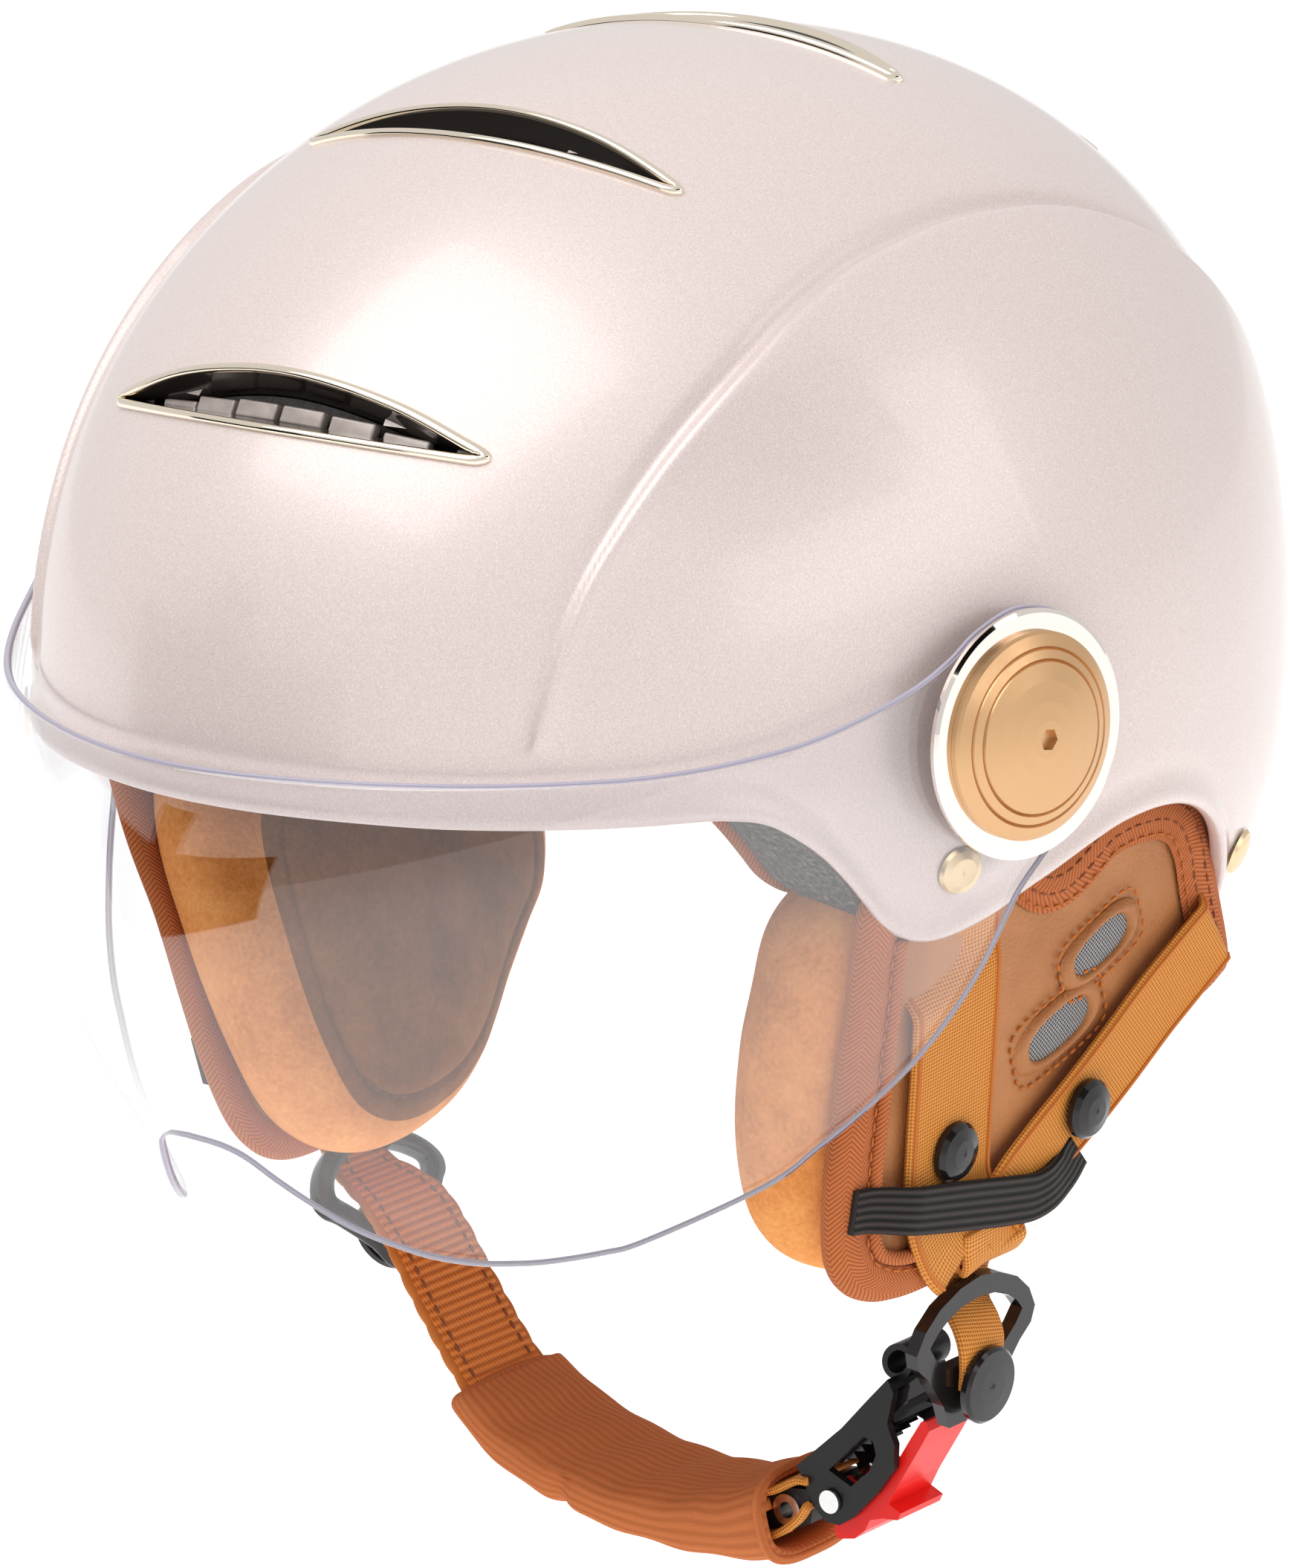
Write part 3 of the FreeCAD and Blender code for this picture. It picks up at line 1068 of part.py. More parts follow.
eyelet = turned("BracketEyelet", [
    (minus(q("eyelet_radius"), q("eyelet_wall")), num(0)), (plus(q("eyelet_radius"), num(0.9)), num(0)), (plus(q("eyelet_radius"), num(0.9)), num(0.6)),
    (q("eyelet_radius"), num(0.6)), (q("eyelet_radius"), num(18.0)), (plus(q("eyelet_radius"), num(0.9)), num(18.0)),
    (plus(q("eyelet_radius"), num(0.9)), num(18.6)), (minus(q("eyelet_radius"), q("eyelet_wall")), num(18.6))])
eyelet.Placement = BRACKET.multiply(Placement(Vector(-12.3, -1.4, -9.3), Rotation()))
keep(eyelet, "bracket_eyelet")

# ---------------------------------------------------------------- webbing on the buckle side

def plain_band(points, across, width, thick):
    return path_band(points, across, 1, width, thick, use_lean=False)


Y = Vector(0, 1, 0)
eye = local(-12.3, -1.4)
strap_pts = [Vector(-73.8, SY, -126.5), Vector(-70.6, SY, -129.4), Vector(-66.4, SY, -131.2), Vector(-60.4, SY, -134.2), Vector(-53.8, SY, -141.0), Vector(-46.0, SY, -152.2), Vector(-36.8, SY, -164.4),
             Vector(-27.5, SY, -173.6), Vector(-15.0, SY, -180.0), Vector(0.0, SY, -183.4), Vector(16.0, SY, -184.4), Vector(30.0, SY, -183.2),
             Vector(40.5, SY, -180.6), Vector(46.8, SY, -178.0)]
chin_strap = plain_band(strap_pts, Y, D["strap_width"] - 10.6, ST)
# full width as far as the bracket, where the webbing narrows between its cheeks
wide = plain_band(strap_pts[:-2], Y, D["strap_width"], ST)
narrow = plain_band(strap_pts[-4:], Y, 2 * (D["bracket_half_width"] - 1.6) - 0.6, ST)
chin = wide.fuse(narrow).removeSplitter()
keep(doc.addObject("Part::Feature", "ChinStrap"), "chin_strap").Shape = chin

# chin pad: a soft sleeve round the chin strap, open at the buckle end
pad_line = [(-33.5, -168.0, 7.6, 31.0), (-31.0, -170.8, 9.0, 34.5), (-19.5, -178.2, 11.0, 36.0), (-2.0, -183.6, 12.0, 36.0), (17.0, -185.6, 13.4, 34.0),
            (34.0, -184.6, 16.0, 32.0), (48.6, -181.0, 19.0, 31.0)]


def sleeve(line, trim_h, trim_w):
    wires = []
    n = len(line)
    for i, (x, z, h, w) in enumerate(line):
        a, b = line[max(i - 1, 0)], line[min(i + 1, n - 1)]
        t = Vector(b[0] - a[0], 0, b[1] - a[1])
        t.normalize()
        up_v = Vector(-t.z, 0, t.x)
        pts = []
        for k in range(16):
            ang = 2 * math.pi * k / 16
            cw, sw = math.cos(ang), math.sin(ang)
            e = 0.62
            pts.append(Vector(x, SY, z) + Y * ((w / 2 - trim_w) * math.copysign(abs(cw) ** e, cw)) + up_v * ((h / 2 - trim_h) * math.copysign(abs(sw) ** e, sw)))
        wires.append(Part.Wire([spline_edge(pts, periodic=True)]))
    return Part.makeLoft(wires, True, False)


longer = [(-39.5, -160.5, 7.6, 31.0)] + pad_line[1:-1] + [(55.0, -179.0, 19.6, 31.0)]
pad_solid = sleeve(pad_line, 0, 0).cut(sleeve(longer, 2.2, 2.6))
keep(doc.addObject("Part::Feature", "ChinPad"), "chin_pad").Shape = pad_solid

# webbing tail on the buckle side: behind the ring's top bar, out through its opening, under the cap
tail_pts = [Vector(*p) for p in ((101.2, 12, -108.6), (100.4, 12.6, -111.2), (99.4, 14.4, -113.8), (97.9, 16, -115.8), (95.4, 16, -117.4), (92.6, 16, -118.6),
                                (91.5, 15.5, -120.9), (91.6, 15, -124.4), (92.7, 14, -127.2), (95.6, 13.4, -130.8), (97.25, 13, -134.2), (96.87, 13, -138.3), (96.4, 13, -143))]
widths = [18, 17, 15.5, 14.5, 14, 14, 14, 14, 14, 14, 14, 14, 13]
stations = []
for i in range(len(tail_pts)):
    a, b = tail_pts[max(i - 1, 0)], tail_pts[min(i + 1, len(tail_pts) - 1)]
    t = b - a
    t.normalize()
    w = Y - t * Y.dot(t)
    w.normalize()
    h, th = widths[i] / 2, ST / 2
    nrm = w.cross(t)
    p = tail_pts[i]
    corners = [p + w * h + nrm * th, p + w * h - nrm * th, p - w * h - nrm * th, p - w * h + nrm * th]
    stations.append(Part.makePolygon(corners + [corners[0]]))
keep(doc.addObject("Part::Feature", "StrapTailLeft"), "strap_tail_left").Shape = Part.makeLoft(stations, True, True)

# webbing tail on the other side, sewn round the right ring's top bar
R = right_rot
mid = right_at
tail_pts = [mirror(lean(Vector(cover_x(6, -110.5) + 3.1, 6.0, -110.5), -1), -1), Vector(-73.2, 8.5, -114.6), mid + R.multVec(Vector(0, 21.6, 1.2)), mid + R.multVec(Vector(0, 16.0, 3.4)), mid + R.multVec(Vector(0, 9.0, 3.4))]
keep(doc.addObject("Part::Feature", "StrapTailRight"), "strap_tail_right").Shape = plain_band(tail_pts, Y, SW - 2.5, ST)

# webbing keeper loop sewn round the foot of the receiver, below the tongue
KEEPER = (33.8, -12.3)


def keeper_ring(ru, rn):
    pts = [local(KEEPER[0] + ru * math.cos(math.radians(a)), KEEPER[1] + rn * math.sin(math.radians(a)), -6.4) for a in range(0, 360, 30)]
    return Part.Face(Part.Wire([spline_edge(pts, periodic=True)]))


across = BUCKLE.Rotation.multVec(Vector(0, 0, 12.8))
keeper_solid = keeper_ring(4.4, 3.6).extrude(across).cut(keeper_ring(3.0, 2.2).extrude(across))
keep(doc.addObject("Part::Feature", "KeeperLoop"), "webbing_keeper").Shape = keeper_solid

# ---------------------------------------------------------------- write

doc.recompute()
for obj in doc.Objects:
    for word in ("Invalid", "Error"):
        if word in obj.State:
            raise RuntimeError("%s is %s" % (obj.Name, word))
os.makedirs("parts", exist_ok=True)
for old in os.listdir("parts"):
    if old.endswith(".step"):
        os.remove(os.path.join("parts", old))
for label, obj in NODES:
    shape = obj.Shape
    if shape.isNull() or not shape.isValid() or not shape.Solids:
        raise RuntimeError("%s has no valid solid" % label)
    shape.exportStep("parts/%s.step" % label)
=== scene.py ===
# Looks for the open face helmet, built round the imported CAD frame.
# Shapes are worked out in millimetres in the row frame (+X wearer's left, -Y front, +Z up), then scaled to metres.
import bpy
import math
import numpy as np
from mathutils import Matrix, Vector


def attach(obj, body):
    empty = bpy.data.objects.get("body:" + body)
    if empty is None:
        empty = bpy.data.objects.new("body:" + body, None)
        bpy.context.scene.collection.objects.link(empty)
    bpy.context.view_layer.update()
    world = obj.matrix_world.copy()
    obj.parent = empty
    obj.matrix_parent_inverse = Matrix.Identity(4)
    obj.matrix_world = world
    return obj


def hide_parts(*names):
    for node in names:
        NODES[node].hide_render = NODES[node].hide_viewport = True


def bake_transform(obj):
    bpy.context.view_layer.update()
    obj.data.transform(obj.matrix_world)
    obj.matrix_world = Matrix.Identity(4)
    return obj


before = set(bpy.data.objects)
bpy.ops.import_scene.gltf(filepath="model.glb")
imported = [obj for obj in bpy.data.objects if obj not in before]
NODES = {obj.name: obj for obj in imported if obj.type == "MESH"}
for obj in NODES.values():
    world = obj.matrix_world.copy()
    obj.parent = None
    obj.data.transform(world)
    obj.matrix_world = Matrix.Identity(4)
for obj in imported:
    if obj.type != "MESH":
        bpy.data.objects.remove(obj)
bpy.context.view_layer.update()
pi = math.pi
rng = np.random.default_rng(7)

# ------------------------------------------------------------------ small maths


def unit(v):
    v = np.asarray(v, float)
    return v / np.maximum(np.linalg.norm(v, axis=-1, keepdims=True), 1e-12)


def smooth(a, b, x):
    t = np.clip((np.asarray(x, float) - a) / (b - a), 0, 1)
    return t * t * (3 - 2 * t)


def curve(points, n, closed=False):
    """Smooth curve through points, as n samples even along its length."""
    P = np.array(points, float)
    Q = np.vstack([P[-1:], P, P[:2]]) if closed else np.vstack([2 * P[0] - P[1], P, 2 * P[-1] - P[-2]])
    t = np.linspace(0, 1, 24, endpoint=False)[:, None]
    out = []
    for i in range(len(Q) - 3):
        a, b, c, d = Q[i:i + 4]
        out.append(0.5 * (2 * b + (c - a) * t + (2 * a - 5 * b + 4 * c - d) * t ** 2 + (3 * b - a - 3 * c + d) * t ** 3))
    out = np.vstack(out)
    out = np.vstack([out, out[:1] if closed else P[-1:]])
    L = np.r_[0, np.cumsum(np.linalg.norm(np.diff(out, axis=0), axis=1))]
    s = np.linspace(0, L[-1], n + 1 if closed else n)
    if closed:
        s = s[:-1]
    return np.stack([np.interp(s, L, out[:, k]) for k in range(out.shape[1])], 1)


def lengths(P, closed=False):
    Q = np.vstack([P, P[:1]]) if closed else P
    return np.r_[0, np.cumsum(np.linalg.norm(np.diff(Q, axis=0), axis=1))]


def tangents(P, closed=False):
    if closed:
        return unit(np.roll(P, -1, 0) - np.roll(P, 1, 0))
    T = np.gradient(P, axis=0)
    return unit(T)


# ------------------------------------------------------------------ mesh makers

MATS = {}


def raw(name, V, F, mats, uv=None, face_mat=None, angle=None):
    me = bpy.data.meshes.new(name)
    me.from_pydata((np.asarray(V, float) * 0.001).tolist(), [], [tuple(int(i) for i in f) for f in F])
    for m in mats:
        me.materials.append(MATS[m])
    me.polygons.foreach_set("use_smooth", [True] * len(me.polygons))
    if face_mat is not None:
        me.polygons.foreach_set("material_index", np.asarray(face_mat, int).tolist())
    if uv is not None:
        layer = me.uv_layers.new(name="UVMap")
        layer.data.foreach_set("uv", np.asarray(uv, float).ravel().tolist())
    me.validate()
    if angle:
        me.set_sharp_from_angle(angle=math.radians(angle))
    ob = bpy.data.objects.new(name, me)
    bpy.context.scene.collection.objects.link(ob)
    return ob


def grid(name, P, mats, ci=False, cj=False, flip=False, rows=None, caps=False, keep=None, angle=None, uvs=None):
    """Quad net from P[i, j]; i or j may close. UVs are in millimetres: u along j, v along i."""
    if isinstance(mats, str):
        mats = [mats]
    n, m, _ = P.shape
    ni, mj = (n if ci else n - 1), (m if cj else m - 1)
    du = np.linalg.norm(np.diff(np.concatenate([P, P[:, :1]], 1) if cj else P, axis=1), axis=2).mean(0)
    dv = np.linalg.norm(np.diff(np.concatenate([P, P[:1]], 0) if ci else P, axis=0), axis=2).mean(1)
    U, W = np.r_[0, np.cumsum(du)], np.r_[0, np.cumsum(dv)]
    I, J = [a.ravel() for a in np.meshgrid(np.arange(ni), np.arange(mj), indexing="ij")]
    I1, J1 = (I + 1) % n, (J + 1) % m
    F = np.stack([I * m + J, I * m + J1, I1 * m + J1, I1 * m + J], 1)
    if uvs is None:
        uv = np.stack([np.stack([U[J], W[I]], 1), np.stack([U[J + 1], W[I]], 1), np.stack([U[J + 1], W[I + 1]], 1), np.stack([U[J], W[I + 1]], 1)], 1)
    else:
        uv = np.stack([uvs[I, J], uvs[I, J1], uvs[I1, J1], uvs[I1, J]], 1)
    fm = np.zeros(len(F), int) if rows is None else np.asarray(rows)[J]
    if keep is not None:
        k = keep(I, J)
        F, uv, fm = F[k], uv[k], fm[k]
    V = P.reshape(-1, 3)
    if flip:
        F, uv = F[:, ::-1], uv[:, ::-1]
    if keep is not None:
        used = np.unique(F)
        remap = -np.ones(len(V), int)
        remap[used] = np.arange(len(used))
        V, F = V[used], remap[F]
    F = [tuple(f) for f in F.tolist()]
    uv = uv.reshape(-1, 2)
    if caps:
        a, b = list(range(m)), [(n - 1) * m + k for k in range(m)]
        for ring, rev in ((a, not flip), (b, flip)):
            r = ring[::-1] if rev else ring
            F.append(tuple(r))
            uv = np.vstack([uv, np.tile(uv[:1], (m, 1))])
            fm = np.r_[fm, 0]
    return raw(name, V, F, mats, uv, fm, angle)


def tube(name, path, radius, mat, closed=False, k=14, flip=False, caps=True):
    P = np.asarray(path, float)
    T = tangents(P, closed)
    ref = np.array([0.13, 0.21, 0.97])
    N = unit(ref - T * (T @ ref)[:, None])
    for i in range(1, len(P)):
        N[i] = unit(N[i - 1] - T[i] * (T[i] @ N[i - 1]))
    B = np.cross(T, N)
    a = np.linspace(0, 2 * pi, k, endpoint=False)
    R = np.broadcast_to(np.asarray(radius, float), (len(P),))
    G = P[:, None] + R[:, None, None] * (np.cos(a)[None, :, None] * N[:, None] + np.sin(a)[None, :, None] * B[:, None])
    return grid(name, G, mat, ci=closed, cj=True, flip=flip, caps=caps and not closed)


def strap_section(width, thick, k=11):
    """Closed outline of a strap: flat faces and rounded edges, as (across, out) pairs."""
    x = np.linspace(-width / 2 + thick / 2, width / 2 - thick / 2, k)
    top = np.stack([x, np.full(k, thick / 2)], 1)
    a = np.linspace(pi / 2, -pi / 2, 5)[1:-1]
    right = np.stack([width / 2 - thick / 2 + thick / 2 * np.cos(a), thick / 2 * np.sin(a)], 1)
    low = np.stack([x[::-1], np.full(k, -thick / 2)], 1)
    return np.vstack([top, right, low, right * [-1, -1]])


def strap(name, mid, across, width, thick, mat, side=1, k=11, wobble=0.0, project=None, flip=None):
    """Band of webbing along mid. The project argument is not used."""
    mid = np.asarray(mid, float)
    T = tangents(mid)
    A = np.broadcast_to(np.asarray(across, float), mid.shape)
    A = unit(A - T * (A * T).sum(1)[:, None])
    N = np.cross(A, T)
    W = np.broadcast_to(np.asarray(width, float), (len(mid),))
    sec = strap_section(1.0, 1.0, k)
    base = strap_section(10.0, thick, k)
    G = np.zeros((len(mid), len(sec), 3))
    for i in range(len(mid)):
        s = strap_section(W[i], thick, k)
        G[i] = mid[i] + s[:, :1] * A[i] + s[:, 1:] * N[i]
    if wobble:
        G += wobble * np.sin(np.arange(len(mid)) * 1.7)[:, None, None] * A[:, None]
    return grid(name, G, mat, cj=True, caps=True, flip=bool(flip))


def stitches(name, path, normal, mat, pitch=3.1, long=2.3, r=0.36, closed=False, lift=0.0):
    """A row of thread stitches along a path."""
    P = np.asarray(path, float)
    L = lengths(P, closed)
    Q = np.vstack([P, P[:1]]) if closed else P
    Nn = np.broadcast_to(np.asarray(normal, float), P.shape)
    NQ = np.vstack([Nn, Nn[:1]]) if closed else Nn
    count = max(2, int(L[-1] / pitch))
    s = (np.arange(count) + 0.5) * L[-1] / count
    at = lambda arr, t: np.stack([np.interp(t, L, arr[:, k]) for k in range(3)], 1)
    c, a, b = at(Q, s), at(Q, s - long / 2), at(Q, s + long / 2)
    T = unit(b - a)
    N = unit(at(NQ, s))
    N = unit(N - T * (N * T).sum(1)[:, None])
    B = np.cross(T, N)
    th = np.linspace(0, pi, 6)
    ph = np.linspace(0, 2 * pi, 6, endpoint=False)
    base = np.array([[math.cos(t), math.sin(t) * math.cos(f), math.sin(t) * math.sin(f)] for t in th for f in ph])
    V = (c + N * lift)[:, None] + base[None, :, 0:1] * T[:, None] * long / 2 + base[None, :, 1:2] * N[:, None] * r + base[None, :, 2:3] * B[:, None] * r * 1.2
    F = []
    m = len(ph)
    one = [(i * m + j, i * m + (j + 1) % m, (i + 1) * m + (j + 1) % m, (i + 1) * m + j) for i in range(len(th) - 1) for j in range(m)]
    one = np.array(one)
    F = (one[None] + (np.arange(count) * len(base))[:, None, None]).reshape(-1, 4)
    return raw(name, V.reshape(-1, 3), F.tolist(), [mat])


def finish_piece(ob, body="helmet", replaces=()):
    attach(ob, body)
    if replaces:
        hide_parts(*replaces)
    return ob


# ------------------------------------------------------------------ materials


class Mat:
    """A Principled material with helpers for procedural nodes."""

    def __init__(self, name, color=(0.5, 0.5, 0.5), rough=0.5, metal=0.0, **extra):
        m = bpy.data.materials.new(name)
        m.use_nodes = True
        self.m, self.nt = m, m.node_tree
        self.b = m.node_tree.nodes["Principled BSDF"]
        self.set("Base Color", (*color, 1))
        self.set("Roughness", rough)
        self.set("Metallic", metal)
        for key, val in extra.items():
            self.set(key.replace("_", " "), val)
        MATS[name] = m

    def set(self, socket, value):
        self.b.inputs[socket].default_value = value

    def node(self, kind, **props):
        n = self.nt.nodes.new(kind)
        for key, val in props.items():
            setattr(n, key, val)
        return n

    def link(self, a, b):
        self.nt.links.new(a, b)

    def put(self, sock, val):
        if isinstance(val, (int, float, tuple, list)):
            sock.default_value = val
        else:
            self.link(val, sock)

    def math(self, op, a, b=0.0, c=0.0):
        n = self.node("ShaderNodeMath", operation=op)
        for s, v in zip(n.inputs, (a, b, c)):
            self.put(s, v)
        return n.outputs[0]

    def coord(self, which="Object"):
        return self.node("ShaderNodeTexCoord").outputs[which]

    def uv(self):
        s = self.node("ShaderNodeSeparateXYZ")
        self.link(self.coord("UV"), s.inputs[0])
        return s.outputs[0], s.outputs[1]

    def noise(self, scale, detail=3.0, rough=0.5, which="Object", stretch=None):
        n = self.node("ShaderNodeTexNoise")
        n.inputs["Scale"].default_value = scale
        n.inputs["Detail"].default_value = detail
        n.inputs["Roughness"].default_value = rough
        c = self.coord(which)
        if stretch:
            mp = self.node("ShaderNodeMapping")
            mp.inputs["Scale"].default_value = stretch
            self.link(c, mp.inputs["Vector"])
            c = mp.outputs[0]
        self.link(c, n.inputs["Vector"])
        return n.outputs["Fac"]

    def voronoi(self, scale, feature="F1", which="Object"):
        n = self.node("ShaderNodeTexVoronoi", feature=feature)
        n.inputs["Scale"].default_value = scale
        self.link(self.coord(which), n.inputs["Vector"])
        return n.outputs["Distance"]

    def ramp(self, fac, stops):
        n = self.node("ShaderNodeValToRGB")
        el = n.color_ramp.elements
        while len(el) < len(stops):
            el.new(0.5)
        for e, (p, c) in zip(el, stops):
            e.position = p
            e.color = (*c, 1)
        self.put(n.inputs[0], fac)
        return n.outputs[0]

    def mix(self, fac, a, b):
        n = self.node("ShaderNodeMix", data_type="RGBA")
        self.put(n.inputs[0], fac)
        for s, v in ((n.inputs[6], a), (n.inputs[7], b)):
            self.put(s, (*v, 1) if isinstance(v, tuple) and len(v) == 3 else v)
        return n.outputs[2]

    def color(self, out):
        self.link(out, self.b.inputs["Base Color"])

    def rough(self, out):
        self.link(out, self.b.inputs["Roughness"])

    def bump(self, height, distance, strength=1.0, chain=None):
        n = self.node("ShaderNodeBump")
        n.inputs["Strength"].default_value = strength
        n.inputs["Distance"].default_value = distance
        self.put(n.inputs["Height"], height)
        if chain is not None:
            self.link(chain, n.inputs["Normal"])
        self.link(n.outputs[0], self.b.inputs["Normal"])
        return n.outputs[0]


def sine(m, x, period):
    return m.math("SINE", m.math("MULTIPLY", x, 2 * pi / period))


# pearl lacquer
p = Mat("pearl", (0.74, 0.63, 0.60), 0.36, 0.22, Coat_Weight=0.7, Coat_Roughness=0.10, Coat_IOR=1.36, Specular_IOR_Level=0.35)
fl = p.noise(2600, 2.0, 0.7)
p.color(p.ramp(fl, [(0.30, (0.66, 0.545, 0.515)), (0.55, (0.745, 0.635, 0.605)), (0.75, (0.84, 0.745, 0.72))]))
p.bump(p.noise(1900, 1.0), 0.00003, 0.35)

p = Mat("champagne", (0.90, 0.80, 0.66), 0.07, 1.0)
p.rough(p.math("MULTIPLY_ADD", p.noise(160, 4.0), 0.05, 0.045))
p = Mat("dark_chrome", (0.05, 0.04, 0.035), 0.12, 0.6, Coat_Weight=1.0, Coat_Roughness=0.03)
p = Mat("ring_chrome", (0.90, 0.83, 0.77), 0.05, 1.0)
p.rough(p.math("MULTIPLY_ADD", p.noise(220, 4.0), 0.05, 0.035))
p = Mat("gold", (0.66, 0.40, 0.205), 0.27, 0.85)
p.rough(p.math("MULTIPLY_ADD", p.noise(900, 2.0), 0.12, 0.26))
p.bump(p.noise(2400, 2.0), 0.00002, 0.3)
p = Mat("brass", (0.62, 0.50, 0.25), 0.16, 1.0)
p.rough(p.math("MULTIPLY_ADD", p.noise(500, 3.0), 0.14, 0.10))
p = Mat("steel", (0.75, 0.74, 0.73), 0.18, 1.0)
p.rough(p.math("MULTIPLY_ADD", p.noise(700, 3.0), 0.2, 0.1))

p = Mat("black_plastic", (0.010, 0.009, 0.009), 0.34, 0.0, Specular_IOR_Level=0.30)
p.bump(p.noise(2200, 2.0), 0.00003, 0.4)
p = Mat("black_gloss", (0.012, 0.010, 0.010), 0.12, 0.0, Specular_IOR_Level=0.35, Coat_Weight=0.15, Coat_Roughness=0.04)
p = Mat("red_plastic", (0.80, 0.010, 0.007), 0.34, 0.0, Specular_IOR_Level=0.3)
p.bump(p.noise(2000, 2.0), 0.00003, 0.35)

# grained leather
p = Mat("leather", (0.46, 0.19, 0.07), 0.50, 0.0, Specular_IOR_Level=0.28)
n1 = p.noise(36, 4.0, 0.55)
p.color(p.ramp(n1, [(0.30, (0.38, 0.145, 0.046)), (0.70, (0.54, 0.225, 0.082))]))
cells = p.voronoi(620, "DISTANCE_TO_EDGE")
grain = p.math("MINIMUM", p.math("MULTIPLY", cells, 4.0), 1.0)
b1 = p.bump(grain, 0.00010, 0.75)
p.bump(p.noise(240, 5.0, 0.6), 0.00022, 0.6, b1)
p.rough(p.math("MULTIPLY_ADD", p.noise(300, 3.0), 0.22, 0.34))

# brushed suede cloth
def suede(name, lo, mid, hi, sheen=0.35):
    p = Mat(name, mid, 0.95, 0.0, Sheen_Weight=sheen, Sheen_Roughness=0.45, Specular_IOR_Level=0.15)
    p.set("Sheen Tint", (*hi, 1))
    big = p.noise(48, 5.0, 0.62)
    fine = p.noise(900, 4.0, 0.7)
    f = p.math("ADD", p.math("MULTIPLY", big, 0.62), p.math("MULTIPLY", fine, 0.38))
    p.color(p.ramp(f, [(0.36, lo), (0.5, mid), (0.64, hi)]))
    b = p.bump(p.noise(1500, 3.0, 0.7), 0.00030, 0.85)
    p.bump(p.noise(130, 4.0, 0.6), 0.0006, 0.5, b)
    return p


suede("suede", (0.66, 0.230, 0.056), (0.86, 0.335, 0.098), (0.97, 0.45, 0.15), 0.10)
# darker copy of the same suede: painted shade for the cushion's inner face, which sits in the helmet's shade
suede("suede_painted_shade", (0.19, 0.060, 0.012), (0.31, 0.105, 0.024), (0.43, 0.165, 0.045), 0.06)
suede("lining", (0.035, 0.012, 0.004), (0.070, 0.026, 0.010), (0.12, 0.048, 0.018), 0.05)

# herringbone binding: u across, v along
def binding(name, lo, hi):
    p = Mat(name, hi, 0.80, 0.0, Sheen_Weight=0.06, Sheen_Roughness=0.5, Specular_IOR_Level=0.15)
    u, v = p.uv()
    zig = p.math("ABSOLUTE", p.math("SUBTRACT", p.math("PINGPONG", u, 3.6), 1.8))
    line = sine(p, p.math("ADD", v, p.math("MULTIPLY", p.math("PINGPONG", u, 3.6), 0.85)), 1.05)
    f = p.math("MULTIPLY_ADD", line, 0.5, 0.5)
    wear = p.noise(70, 4.0)
    p.color(p.mix(p.math("MULTIPLY", wear, 0.5), p.ramp(f, [(0.1, lo), (0.75, hi)]), tuple(0.72 * c for c in hi)))
    b = p.bump(f, 0.00016, 0.8)
    p.bump(p.noise(1400, 3.0), 0.00012, 0.5, b)
    return p


binding("binding", (0.33, 0.080, 0.020), (0.62, 0.185, 0.060))
binding("band", (0.24, 0.060, 0.016), (0.48, 0.140, 0.045))

# webbing: u across, v along
def webbing(name, lo, mid, hi, kind):
    p = Mat(name, mid, 0.58, 0.0, Sheen_Weight=0.0, Sheen_Roughness=0.4, Specular_IOR_Level=0.22)
    u, v = p.uv()
    if kind == "basket":
        a = sine(p, p.math("ADD", u, p.math("MULTIPLY", v, 0.9)), 1.36)
        b = sine(p, p.math("SUBTRACT", p.math("MULTIPLY", u, 0.9), v), 1.50)
        h = p.math("MULTIPLY_ADD", p.math("MULTIPLY", a, b), 0.5, 0.5)
    else:
        a = sine(p, v, 1.9)
        b = sine(p, p.math("ADD", u, p.math("MULTIPLY", v, 0.2)), 0.95)
        h = p.math("ADD", p.math("MULTIPLY_ADD", a, 0.36, 0.5), p.math("MULTIPLY", b, 0.14))
    tone = p.noise(60, 3.0)
    p.color(p.mix(p.math("MULTIPLY", tone, 0.55), p.ramp(h, [(0.06, lo), (0.42, mid), (0.92, hi)]), mid))
    bb = p.bump(h, 0.00030 if kind == "basket" else 0.0004, 0.9)
    p.bump(p.noise(2200, 2.0), 0.00006, 0.4, bb)
    return p


webbing("webbing", (0.26, 0.070, 0.008), (0.66, 0.235, 0.036), (0.97, 0.43, 0.095), "basket")
webbing("webbing_rib", (0.36, 0.085, 0.012), (0.76, 0.205, 0.036), (0.95, 0.32, 0.070), "rib")
p = Mat("thread", (0.56, 0.165, 0.030), 0.6, 0.0, Specular_IOR_Level=0.2)
p = Mat("thread_dark", (0.25, 0.070, 0.022), 0.7, 0.0)

# ribbed elastic: u across
p = Mat("elastic", (0.02, 0.016, 0.015), 0.66, 0.0, Specular_IOR_Level=0.2)
u, v = p.uv()
h = p.math("MULTIPLY_ADD", sine(p, u, 1.75), 0.5, 0.5)
w = p.math("MULTIPLY_ADD", sine(p, v, 0.8), 0.12, 0.0)
p.color(p.ramp(h, [(0.05, (0.006, 0.005, 0.005)), (0.9, (0.050, 0.040, 0.036))]))
p.bump(p.math("ADD", h, w), 0.00035, 0.9)

